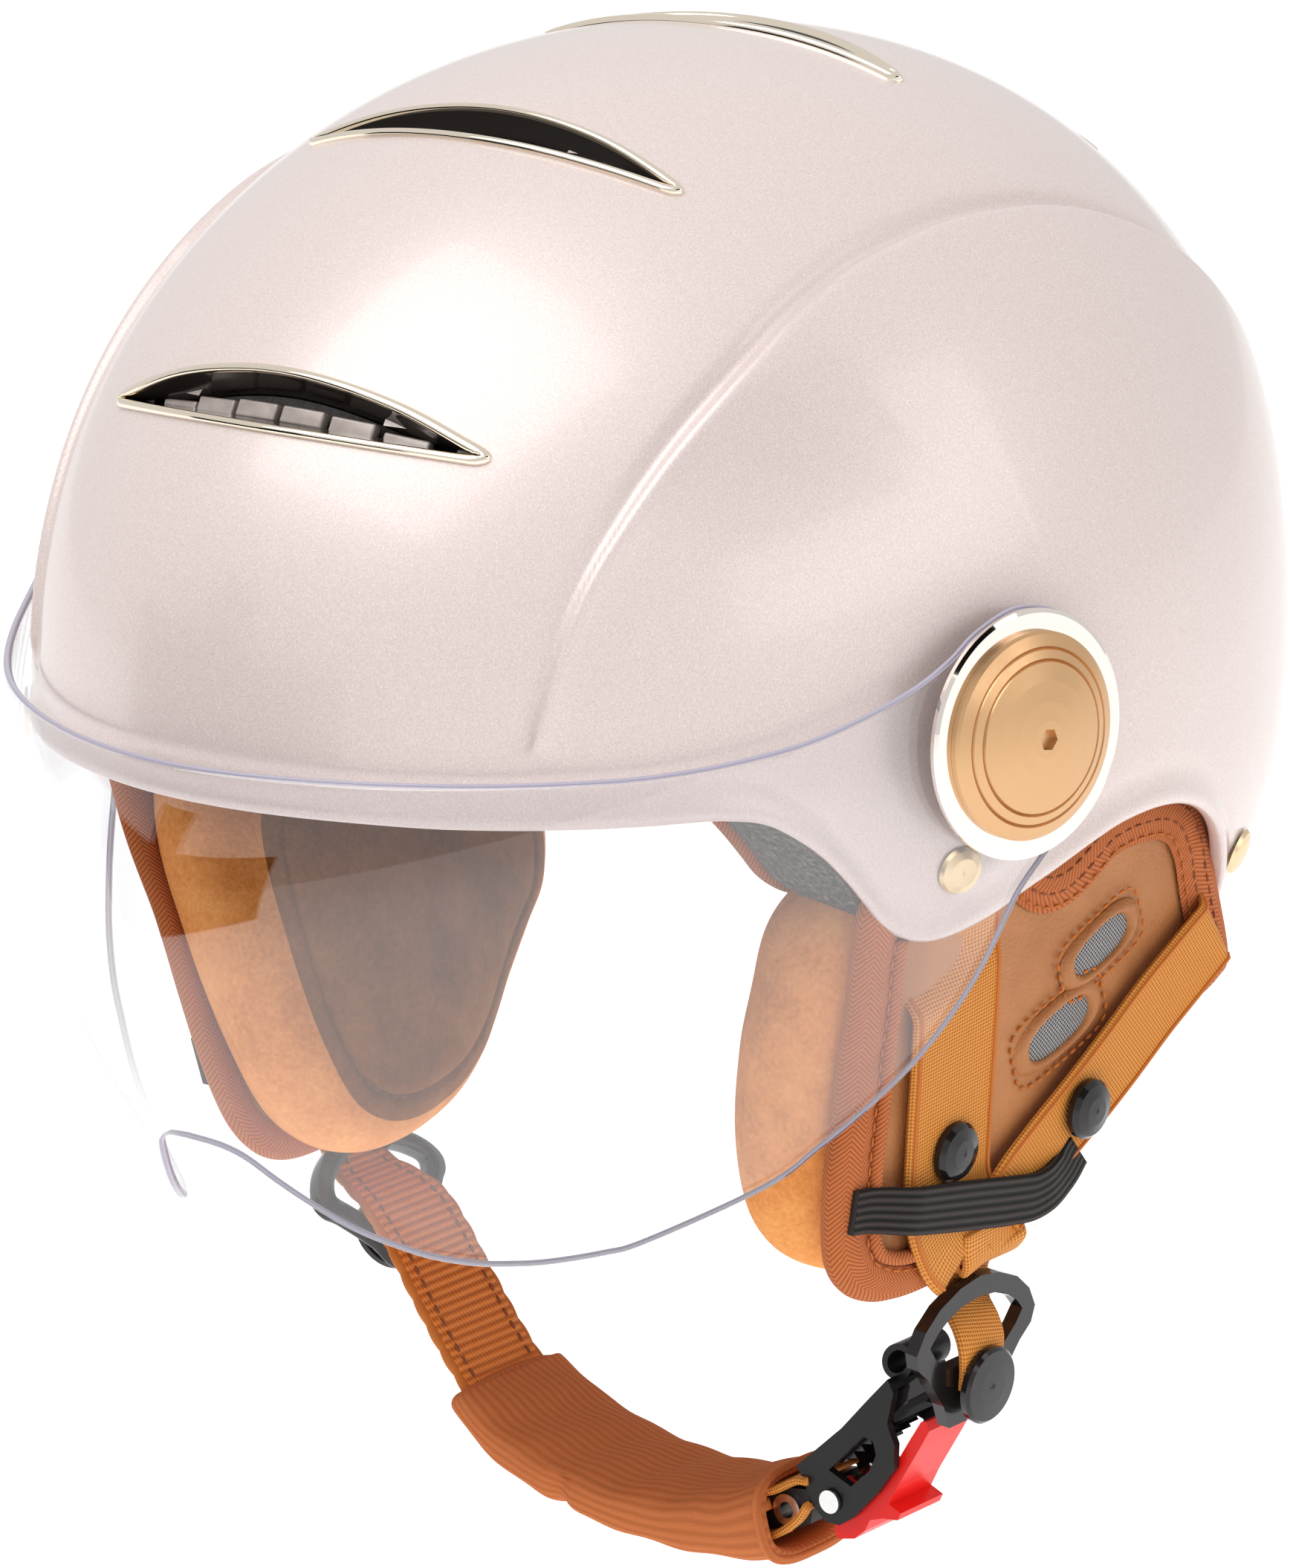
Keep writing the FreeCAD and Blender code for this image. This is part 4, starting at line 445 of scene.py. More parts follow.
# ribbed fleece of the chin pad: u across the ribs
p = Mat("corduroy", (0.45, 0.15, 0.052), 0.95, 0.0, Sheen_Weight=0.12, Sheen_Roughness=0.4, Specular_IOR_Level=0.1)
p.set("Sheen Tint", (0.85, 0.42, 0.22, 1))
u, v = p.uv()
warp = p.math("MULTIPLY", p.noise(45, 2.0), 2.6)
h = p.math("MULTIPLY_ADD", sine(p, p.math("ADD", u, warp), 2.05), 0.5, 0.5)
tone = p.noise(55, 5.0, 0.6)
p.color(p.mix(p.math("MULTIPLY", tone, 0.8), p.ramp(h, [(0.08, (0.46, 0.130, 0.042)), (0.75, (0.62, 0.190, 0.066))]), (0.56, 0.170, 0.058)))
b1 = p.bump(h, 0.00022, 0.6)
p.bump(p.noise(1500, 3.0, 0.7), 0.0003, 0.8, b1)

# open mesh in the ear openings
p = Mat("mesh_cloth", (0.36, 0.35, 0.35), 0.6, 0.1)
u, v = p.uv()
a = sine(p, p.math("ADD", u, v), 0.95)
b = sine(p, p.math("SUBTRACT", u, v), 0.95)
h = p.math("MAXIMUM", a, b)
p.color(p.ramp(p.math("MULTIPLY_ADD", h, 0.5, 0.5), [(0.50, (0.035, 0.033, 0.033)), (0.80, (0.46, 0.45, 0.45))]))
p.bump(h, 0.0003, 0.9)

# foam of the impact liner, speckled
p = Mat("foam", (0.10, 0.09, 0.085), 0.9, 0.0, Specular_IOR_Level=0.2)
sp = p.noise(800, 4.0, 0.75)
p.color(p.ramp(sp, [(0.36, (0.028, 0.025, 0.023)), (0.55, (0.11, 0.098, 0.092)), (0.70, (0.30, 0.275, 0.26))]))
p.bump(p.voronoi(330), 0.0004, 0.6)

# clear visor: thin sheet, so light goes straight through and mirror light is added on top
def clear(name, tint, edge, base):
    p = Mat(name, (1, 1, 1), 0.03)
    nt = p.nt
    out = nt.nodes["Material Output"]
    tr = p.node("ShaderNodeBsdfTransparent")
    tr.inputs[0].default_value = (*tint, 1)
    gl = p.node("ShaderNodeBsdfGlossy")
    gl.inputs["Color"].default_value = (1, 1, 1, 1)
    gl.inputs["Roughness"].default_value = 0.015
    fr = p.node("ShaderNodeFresnel")
    # the same mirror strength from both faces of the sheet
    geo = p.node("ShaderNodeNewGeometry")
    p.link(p.math("MULTIPLY_ADD", geo.outputs["Backfacing"], 1 / 1.5 - 1.5, 1.5), fr.inputs[0])
    mx = p.node("ShaderNodeMixShader")
    p.link(p.math("MINIMUM", p.math("MULTIPLY_ADD", fr.outputs[0], edge, base), 1.0), mx.inputs[0])
    p.link(tr.outputs[0], mx.inputs[1])
    p.link(gl.outputs[0], mx.inputs[2])
    p.link(mx.outputs[0], out.inputs[0])
    nt.nodes.remove(p.b)
    return p


clear("visor", (0.972, 0.972, 0.978), 0.80, 0.034)
p = Mat("visor_edge", (0.44, 0.41, 0.50), 0.25, 0.0, Specular_IOR_Level=0.3)

# ------------------------------------------------------------------ shell form

C = np.array([0.0, 46.525, -6.328])
X = np.array([1.0, 0, 0])


def reach(d):
    t = math.radians(-4.064)
    c, s = math.cos(t), math.sin(t)
    x, y, z = d[..., 0], d[..., 1] * c + d[..., 2] * s, -d[..., 1] * s + d[..., 2] * c
    b = (158.181 + 127.991) / 2 + (127.991 - 158.181) / 2 * y
    h = (128.115 + 90.128) / 2 + (128.115 - 90.128) / 2 * z
    a = 121.0 * (1 - 0.036 * y + 0.044 * z * z)
    e = (np.abs(x / a) ** 1.975 + np.abs(y / b) ** 1.975) ** (2.256 / 1.975) + np.abs(z / h) ** 2.256
    return e ** (-1 / 2.256)


def shell_at(A, E, depth=0.0):
    d = np.stack([np.sin(A) * np.cos(E), -np.cos(A) * np.cos(E), np.sin(E)], -1)
    return C + d * (reach(d) - depth)[..., None], d


def shell_x(y, z, depth=0.0):
    y, z = np.broadcast_arrays(np.asarray(y, float), np.asarray(z, float))
    lo, hi = np.zeros(y.shape), np.full(y.shape, 160.0)
    for _ in range(40):
        mid = (lo + hi) / 2
        v = np.stack([mid, y, z], -1) - C
        n = np.linalg.norm(v, axis=-1)
        ins = n < reach(v / n[..., None]) - depth
        lo, hi = np.where(ins, mid, lo), np.where(ins, hi, mid)
    return (lo + hi) / 2


EDGE = [(-150, -5.2), (-111.6, -5.6), (-95, -6.6), (-75, -7.1), (-62, -7.1), (-57.9, -7.4), (-51.8, -8.8),
        (-46.6, -12.1), (-41.1, -16.9), (-35.8, -22.9), (-30.6, -29.4), (-26.8, -33.9), (-22.2, -37.3),
        (-17, -39.2), (-12.2, -39.3), (-6.1, -37.8), (-0.4, -35.6), (4.9, -32.8), (12.8, -29.6),
        (21.7, -26.2), (31.5, -23.6), (42.8, -23), (53.1, -24.6), (62.3, -28.5), (70.9, -35.2),
        (79.3, -45.9), (86, -56), (95, -63), (108, -66.5), (130, -68), (200, -68)]
INNER_EDGE = [(-150, -5.0), (-111.6, -5.2), (-80, -5.8), (-50, -6.4), (-20, -6.6), (20, -6.6), (60, -8), (78, -12),
              (88, -24), (98, -34), (114, -40), (140, -42), (200, -42)]


def edge_elevation(A, edge, depth=0.0):
    e = curve(edge, 900)
    lo, hi = np.full(A.shape, -1.2), np.full(A.shape, 0.5)
    for _ in range(44):
        mid = (lo + hi) / 2
        P, _d = shell_at(A, mid, depth)
        under = P[..., 2] < np.interp(P[..., 1], e[:, 0], e[:, 1])
        lo, hi = np.where(under, mid, lo), np.where(under, hi, mid)
    return (lo + hi) / 2


RIDGE = curve([(64.6, -86.6, 4.5), (65.4, -85.4, 8.7), (67.3, -81.7, 20.5), (68.5, -77.2, 30.9), (70.1, -71.3, 40.4), (71.8, -64.5, 48.5),
               (73.4, -56.6, 56.4), (74.9, -47.8, 63.6), (76.4, -36.9, 71), (77.2, -28, 76.3), (77.6, -18.5, 81.5), (78.5, -1.4, 88.2),
               (79.8, 12, 91.1), (80.8, 25.9, 92.9), (82.1, 39.6, 92.9), (83.1, 53.8, 91.6), (84, 68.4, 88.3), (84.7, 83.5, 82.7),
               (84.3, 98, 75.3), (83, 114, 63), (80.5, 127, 48), (77.5, 136, 32), (75, 141, 15), (73, 143, 0)], 420)


def ridge_height(P):
    """Height of the arched side panel over the plain shell form, for points with x of either sign."""
    Q = P.reshape(-1, 3).copy()
    Q[:, 0] = np.abs(Q[:, 0])
    h = np.zeros(len(Q))
    T = tangents(RIDGE)
    L = lengths(RIDGE)
    near = np.where((Q[:, 0] > 20) & (Q[:, 2] > -20))[0]
    for part in np.array_split(near, max(1, len(near) // 20000)):
        D = ((Q[part, None] - RIDGE[None]) ** 2).sum(2)
        k = D.argmin(1)
        off = Q[part] - RIDGE[k]
        n = unit(Q[part] - C)
        side = unit(np.cross(T[k], n))
        d = (off * side).sum(1)
        over = np.maximum(0, np.abs((off * T[k]).sum(1)) - 1.5)
        s = L[k]
        fade = smooth(-1, 7, s) * (1 - smooth(L[-1] - 70, L[-1] - 2, s)) * np.exp(-(over / 3.0) ** 2)
        wide = 3.2 + 30 * smooth(25, 150, s)
        high = 1.5 + 1.3 * smooth(30, 140, s)
        low = 0.55 + 0.75 * smooth(40, 150, s)
        step = 1 / (1 + np.exp(-(d + 0.3) / (0.30 + 0.14 * smooth(40, 150, s))))
        body = np.exp(-(np.maximum(d - 0.8, 0) / wide) ** 1.25)
        groove = np.exp(-((d + 2.2) / (1.7 + 0.8 * smooth(40, 150, s))) ** 2)
        h[part] = fade * (high * step * body - low * groove)
    return h.reshape(P.shape[:-1])


VENTS = {"front": (151.7, 48.5, 10.2, 3.8), "upper": (120.2, 48.5, 9.6, 3.6), "crown": (85.5, 47.0, 9.0, 3.4), "rear": (50.0, 45.0, 9.0, 3.4)}


def vent_axes(angle):
    t = math.radians(angle)
    return np.array([0, math.cos(t), math.sin(t)]), np.array([0, math.sin(t), -math.cos(t)])


def vent_outline(half, rise, fall, n=200):
    h, r, f = half, rise, fall
    return curve([(-h, 0.9), (-h * 0.975, 2.3), (-h * 0.90, 3.5), (-h * 0.62, r * 0.66 + 0.4), (-h * 0.3, r * 0.92), (0, r), (h * 0.3, r * 0.92), (h * 0.62, r * 0.66 + 0.4),
                  (h * 0.90, 3.5), (h * 0.975, 2.3), (h, 0.9), (h * 0.975, -0.6), (h * 0.90, -1.5), (h * 0.5, -f * 0.82), (0, -f), (-h * 0.5, -f * 0.82), (-h * 0.90, -1.5), (-h * 0.975, -0.6)], n, True)


def vent_inset(O, half, amount):
    """The outline drawn in by an amount, never past its own middle."""
    top = O[O[:, 1] >= np.interp(O[:, 0], [-half, half], [0.9, 0.9])]
    top, low = top[top[:, 0].argsort()], O[O[:, 1] < 0.9]
    low = low[low[:, 0].argsort()]
    a, b = np.interp(O[:, 0], top[:, 0], top[:, 1]), np.interp(O[:, 0], low[:, 0], low[:, 1])
    mid, hh = (a + b) / 2, np.maximum((a - b) / 2, 0.4)
    k = 1 - np.minimum(amount / hh, 0.86)
    return np.stack([O[:, 0] * (1 - amount / half), mid + (O[:, 1] - mid) * k], 1)


def on_shell(x, v, nrm, up):
    """Point of the shell over plane point (x, v), looking along nrm."""
    base = C + x[..., None] * X + v[..., None] * up
    lo, hi = np.full(x.shape, 40.0), np.full(x.shape, 190.0)
    for _ in range(40):
        mid = (lo + hi) / 2
        q = base + mid[..., None] * nrm - C
        n = np.linalg.norm(q, axis=-1)
        ins = n < reach(q / n[..., None])
        lo, hi = np.where(ins, mid, lo), np.where(ins, hi, mid)
    return base + mid[..., None] * nrm


def inside(poly, pts):
    x, y = pts[:, 0], pts[:, 1]
    res = np.zeros(len(pts), bool)
    a, b = poly, np.roll(poly, -1, 0)
    for (x0, y0), (x1, y1) in zip(a, b):
        if y0 == y1:
            continue
        hit = ((y0 > y) != (y1 > y)) & (x < (x1 - x0) * (y - y0) / (y1 - y0) + x0)
        res ^= hit
    return res


def build_shell():
    na, ne = ((960, 340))
    A = np.linspace(-pi, pi, na, endpoint=False)
    E0 = edge_elevation(A, EDGE)
    t = np.linspace(1, 0, ne)
    Eg = E0[None] + (pi / 2 - E0[None]) * t[:, None]
    G, d = shell_at(np.broadcast_to(A, Eg.shape), Eg)
    h = ridge_height(G)
    up = np.linalg.norm(G - G[-1][None], axis=2)
    # thin rolled lip at the lower edge
    h += 0.9 * np.exp(-(up / 2.6) ** 2) - 0.35 * np.exp(-((up - 6.0) / 2.4) ** 2)
    G = G + d * h[..., None]
    base, de = G[-1], d[-1]
    down = unit(G[-1] - G[-4])
    down = unit(down - de * (down * de).sum(1)[:, None])
    rr = 1.9
    rows = [base - de * rr + rr * (math.cos(f) * de + math.sin(f) * down) for f in np.linspace(0, pi, 10)[1:]]
    ni = 46
    Ei = E0[None] + (pi / 2 - E0[None]) * np.linspace(0.015, 1, ni)[:, None]
    I, _ = shell_at(np.broadcast_to(A, Ei.shape), Ei, 3.9)
    P = np.concatenate([G, np.array(rows), I], 0)
    flat = P.reshape(-1, 3)
    cut = np.zeros(len(flat), bool)
    for ang, half, rise, fall in VENTS.values():
        nrm, upv = vent_axes(ang)
        q = flat - C
        x, v, w = q[:, 0], q @ upv, q @ nrm
        m = np.where((np.abs(x) < half) & (np.abs(v) < 14) & (w > 60))[0]
        O = vent_inset(vent_outline(half, rise, fall), half, 0.25)
        cut[m[inside(O, np.stack([x[m], v[m]], 1))]] = True
    cut = cut.reshape(P.shape[:2])
    n = P.shape[0]

    def keep(i, j):
        j1 = (j + 1) % na
        return ~(cut[i, j] & cut[i + 1, j] & cut[i, j1] & cut[i + 1, j1])

    ob = grid("shell_lacquered", P, "pearl", cj=True, keep=keep)
    return finish_piece(ob, "helmet", ("outer_shell",))


def build_bezels():
    rows = [(-0.3, -1.6), (-0.25, -0.1), (-0.1, 0.60), (0.2, 1.05), (0.7, 1.3), (1.2, 1.3), (1.55, 1.05), (1.75, 0.6), (1.85, 0.0), (2.1, -0.9), (2.5, -2.3), (3.3, -4.0), (3.9, -5.4), (4.2, -7.0)]
    mat = [0] * 8 + [1] * 6
    for name, (ang, half, rise, fall) in VENTS.items():
        nrm, upv = vent_axes(ang)
        O = vent_outline(half, rise, fall, 200)
        G = np.zeros((len(O), len(rows), 3))
        for k, (a, hgt) in enumerate(rows):
            q = vent_inset(O, half, a) if a > 0 else O * [1 - a / half, 1 - a / 7]
            S = on_shell(q[:, 0], q[:, 1], nrm, upv)
            G[:, k] = S + unit(S - C) * hgt
        ob = grid("bezel_" + name, G, ["champagne", "dark_chrome"], ci=True, rows=mat)
        finish_piece(ob, "helmet", ("vent_bezel_" + name,))
        # dark back wall of the duct
        q = vent_inset(O, half, 4.4)
        S = on_shell(q[:, 0], q[:, 1], nrm, upv)
        rim = S - unit(S - C) * 6.8
        mid = np.stack([q[:, 0], np.interp(q[:, 0], [-half, 0, half], [1.0, 3.2, 1.0])], 1)
        M = on_shell(mid[:, 0], mid[:, 1], nrm, upv)
        M = M - unit(M - C) * 7.6
        ob = grid("duct_" + name, np.stack([rim, (rim + M) / 2, M], 1), "duct", ci=True)
        finish_piece(ob, "helmet")


def rounded_box(name, c, ax, ay, az, size, r, mat):
    """Box with rounded edges, centre c, axes ax ay az."""
    n = 5
    g = []
    sx, sy, sz = (s / 2 - r for s in size)
    a = np.linspace(-pi / 2, pi / 2, 2 * n)
    ph = np.linspace(0, 2 * pi, 4 * n, endpoint=False)
    P = np.zeros((len(a), len(ph), 3))
    for i, t in enumerate(a):
        for j, f in enumerate(ph):
            d = np.array([math.cos(t) * math.cos(f), math.cos(t) * math.sin(f), math.sin(t)])
            o = np.array([math.copysign(sx, math.cos(f + 1e-4)), math.copysign(sy, math.sin(f + 1e-4)), math.copysign(sz, t if t else 1)])
            q = o + d * r
            P[i, j] = c + q[0] * ax + q[1] * ay + q[2] * az
    return grid(name, P, mat, cj=True, caps=True, angle=60)


def build_grille():
    ang, half, rise, fall = VENTS["front"]
    nrm, upv = vent_axes(ang)
    obs = []
    for k, x in enumerate((-30.5, -18.3, -6.1, 6.1, 18.3, 30.5)):
        v = 1.6 - 0.0012 * x * x
        S = on_shell(np.array(x), np.array(v), nrm, upv)
        n = unit(S - C)
        a = unit(X - n * n[0])
        b = np.cross(n, a)
        hgt = 3.6 if abs(x) < 20 else 3.0
        obs.append(rounded_box("grille_block_%d" % k, S - n * 5.4, a, b, n, (10.4, hgt, 2.6), 0.5, "grille"))
    for k, ob in enumerate(obs):
        finish_piece(ob, "helmet", ("vent_grille_front",) if k == 0 else ())


# ------------------------------------------------------------------ visor


def visor_r(turn, z):
    k = z / 100
    rc = 131.5 - 54.296 * k - 100.262 * k * k - 27.167 * k ** 3
    hf = 122.05 - 1.863 * k - 9.777 * k * k
    p = 1.796 + 0.463 * k
    return (np.abs(np.cos(turn) / rc) ** p + np.abs(np.sin(turn) / hf) ** p) ** (-1 / p)


def visor_pt(turn, z):
    r = visor_r(turn, z)
    return np.stack([r * np.sin(turn), 13 - r * np.cos(turn), np.broadcast_to(z, r.shape)], -1)


def turn_of(z, x=None, y=None):
    t = np.linspace(0, 2.3, 2400)
    P = visor_pt(t, np.full(t.shape, z))
    if x is not None:
        k = np.argmax(P[:, 0])
        return float(np.interp(x, P[:k, 0], t[:k]))
    return float(np.interp(y, P[:, 1], t))


def build_visor():
    low_x = [(0, -73.3), (4.2, -73.9), (7.6, -75), (10.9, -77.4), (14.6, -82.6), (18.6, -88), (23, -93.5), (27.7, -97.8), (32.9, -101.6), (38.7, -103.9), (43.9, -104.5), (49.9, -104.2), (59.1, -102.3), (66, -99.8)]
    low_y = [(-42.2, -88.1), (-36.1, -80.3), (-31.6, -74.9), (-27.3, -69.6), (-22.6, -63.8), (-17.6, -56.6), (-12.7, -48.8), (-8.8, -41.7), (-5.9, -35.9), (-2.6, -30.6), (2.5, -25.6), (8.2, -20.9)]
    top_y = [(-118, 1.5), (-97.6, 1.4), (-83.1, 1.6), (-75.5, 1.9), (-67.3, 2.7), (-58.5, 4), (-49, 5.9), (-38.6, 9.2), (-27.4, 13.6), (-19.3, 18), (-12.6, 22.6), (-3.5, 25.6)]
    low = [(turn_of(z, x=x), z) for x, z in low_x] + [(turn_of(z, y=y), z) for y, z in low_y]
    for a in (-48, -32, -16, 0):
        y, z = -3 + 24.6 * math.cos(math.radians(a)), 1 + 24.6 * math.sin(math.radians(a))
        low.append((turn_of(z, y=y), z))
    top = [(turn_of(z, y=y), z) for y, z in top_y]
    top[0] = (0.0, 1.5)
    for a in (70, 52, 35, 18, 0):
        y, z = -3 + 24.6 * math.cos(math.radians(a)), 1 + 24.6 * math.sin(math.radians(a))
        top.append((turn_of(z, y=y), z))
    n, m = ((260, 70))

    def even(tz):
        fine = curve([(t * 118, z) for t, z in tz], 1200)
        P = visor_pt(fine[:, 0] / 118, fine[:, 1])
        L = lengths(P)
        s = np.linspace(0, L[-1], n)
        return np.interp(s, L, fine[:, 0] / 118), np.interp(s, L, fine[:, 1])

    (tl, zl), (tt, zt) = even(low), even(top)
    w = np.linspace(0, 1, m)
    w = 0.5 - 0.5 * np.cos(pi * w) * 0.35 - 0.5 * (1 - 2 * w) * 0.65
    turn = tl[:, None] * (1 - w) + tt[:, None] * w
    z = zl[:, None] * (1 - w) + zt[:, None] * w
    half = visor_pt(turn, z)
    mirror = half[1:][::-1] * [-1, 1, 1]
    S = np.concatenate([mirror, half], 0)
    di, dj = np.gradient(S, axis=0), np.gradient(S, axis=1)
    N = np.cross(dj, di)
    N = unit(N)
    for _ in range(2):
        N[[0, -1]] = N[[1, -2]]
    N *= np.sign((N * (S - np.array([0, 20, 0]))).sum(2))[..., None]
    # flared lip along the nose notch
    dist = np.linalg.norm(S - S[:, :1], axis=2)
    flare = 1.7 * np.exp(-(dist / 5.0) ** 2) * (1 - smooth(20, 46, np.abs(S[..., 0])))
    flare[np.abs(S[..., 1]) > 200] = 0
    S = S + N * flare[..., None]
    th = 0.8
    out, inn = S + N * th, S - N * th
    lowm = S[:, :1] - 0.25 * unit(S[:, 1:2] - S[:, :1])
    topm = S[:, -1:] + 0.25 * unit(S[:, -1:] - S[:, -2:-1])
    P = np.concatenate([lowm, out, topm, inn[:, ::-1]], 1)
    cols = P.shape[1]
    rows = np.zeros(cols, int)
    rows[0] = rows[-1] = 1
    rows[m] = rows[m + 1] = 1
    for tag, line, rad in (("low", lowm[:, 0], 0.40), ("top", topm[:, 0], 0.50)):
        e = tube("visor_rim_" + tag, line, rad, "visor_edge", k=10)
        finish_piece(e, "visor_body")
    ob = grid("visor_sheet", P, ["visor", "visor_edge"], cj=True, rows=rows, caps=True)
    return finish_piece(ob, "visor_body", ("visor",))


# ------------------------------------------------------------------ ear covers

COVER = [(25.8, -34), (42, -26), (58.3, -25), (68.8, -29), (75.1, -37), (79.3, -48.8), (86.0, -67.6), (83.3, -72.4),
         (75.3, -76.2), (66.7, -79.5), (60.3, -82.4), (54.4, -86.9), (48.3, -91.3), (41.1, -96), (36.3, -100.9),
         (31.4, -105.2), (25.3, -108.3), (19.2, -111.2), (8, -115.2), (-4.5, -117.2), (-16, -116.6), (-24.4, -113.2), (-28.8, -107.8),
         (-30.6, -101.0), (-31.2, -90.8), (-30.9, -80), (-30.3, -69.1), (-29.9, -55.3), (-29.4, -41.5), (-26.4, -30), (-12, -24), (8, -24)]
FOLD, FOLD_TOP = 0.31, -28.0
SUEDE_OUT = [(25, -30), (50, -29), (66, -35), (75, -48), (76, -62), (69, -74), (58, -82), (47, -90.5), (36, -99), (25, -106),
             (12, -111.5), (-4, -114), (-17, -112), (-26, -105), (-30.5, -92), (-32, -76), (-30.5, -55), (-26.0, -38), (-14, -30), (5, -29)]


def cover_x(y, z):
    """Outer face of the ear cover; its front edge curls in a little, away from the visor."""
    y, z = np.asarray(y, float), np.asarray(z, float)
    return 103.6 + 0.06 * (y - 20) + 0.10 * (z + 60) - 1.6 * smooth(-14, -36, y) * smooth(-50, -66, z)


def hand(P, side):
    Q = np.array(P, float)
    if side < 0:
        Q[..., 0] = Q[..., 0] - FOLD * np.maximum(0, FOLD_TOP - Q[..., 2])
        Q[..., 0] *= -1
    return Q


def inward(O):
    """Inward normals of a closed (y, z) outline."""
    T = tangents(O, True)
    N = np.stack([-T[:, 1], T[:, 0]], 1)
    cen = O.mean(0)
    area = 0.5 * np.sum(O[:, 0] * np.roll(O[:, 1], -1) - np.roll(O[:, 0], -1) * O[:, 1])
    return N if area > 0 else -N


def shrink(O, a):
    Q = O + inward(O) * a
    for _ in range(6):
        Q = 0.25 * np.roll(Q, 1, 0) + 0.5 * Q + 0.25 * np.roll(Q, -1, 0)
    return Q


WORD = {1: "left", -1: "right"}


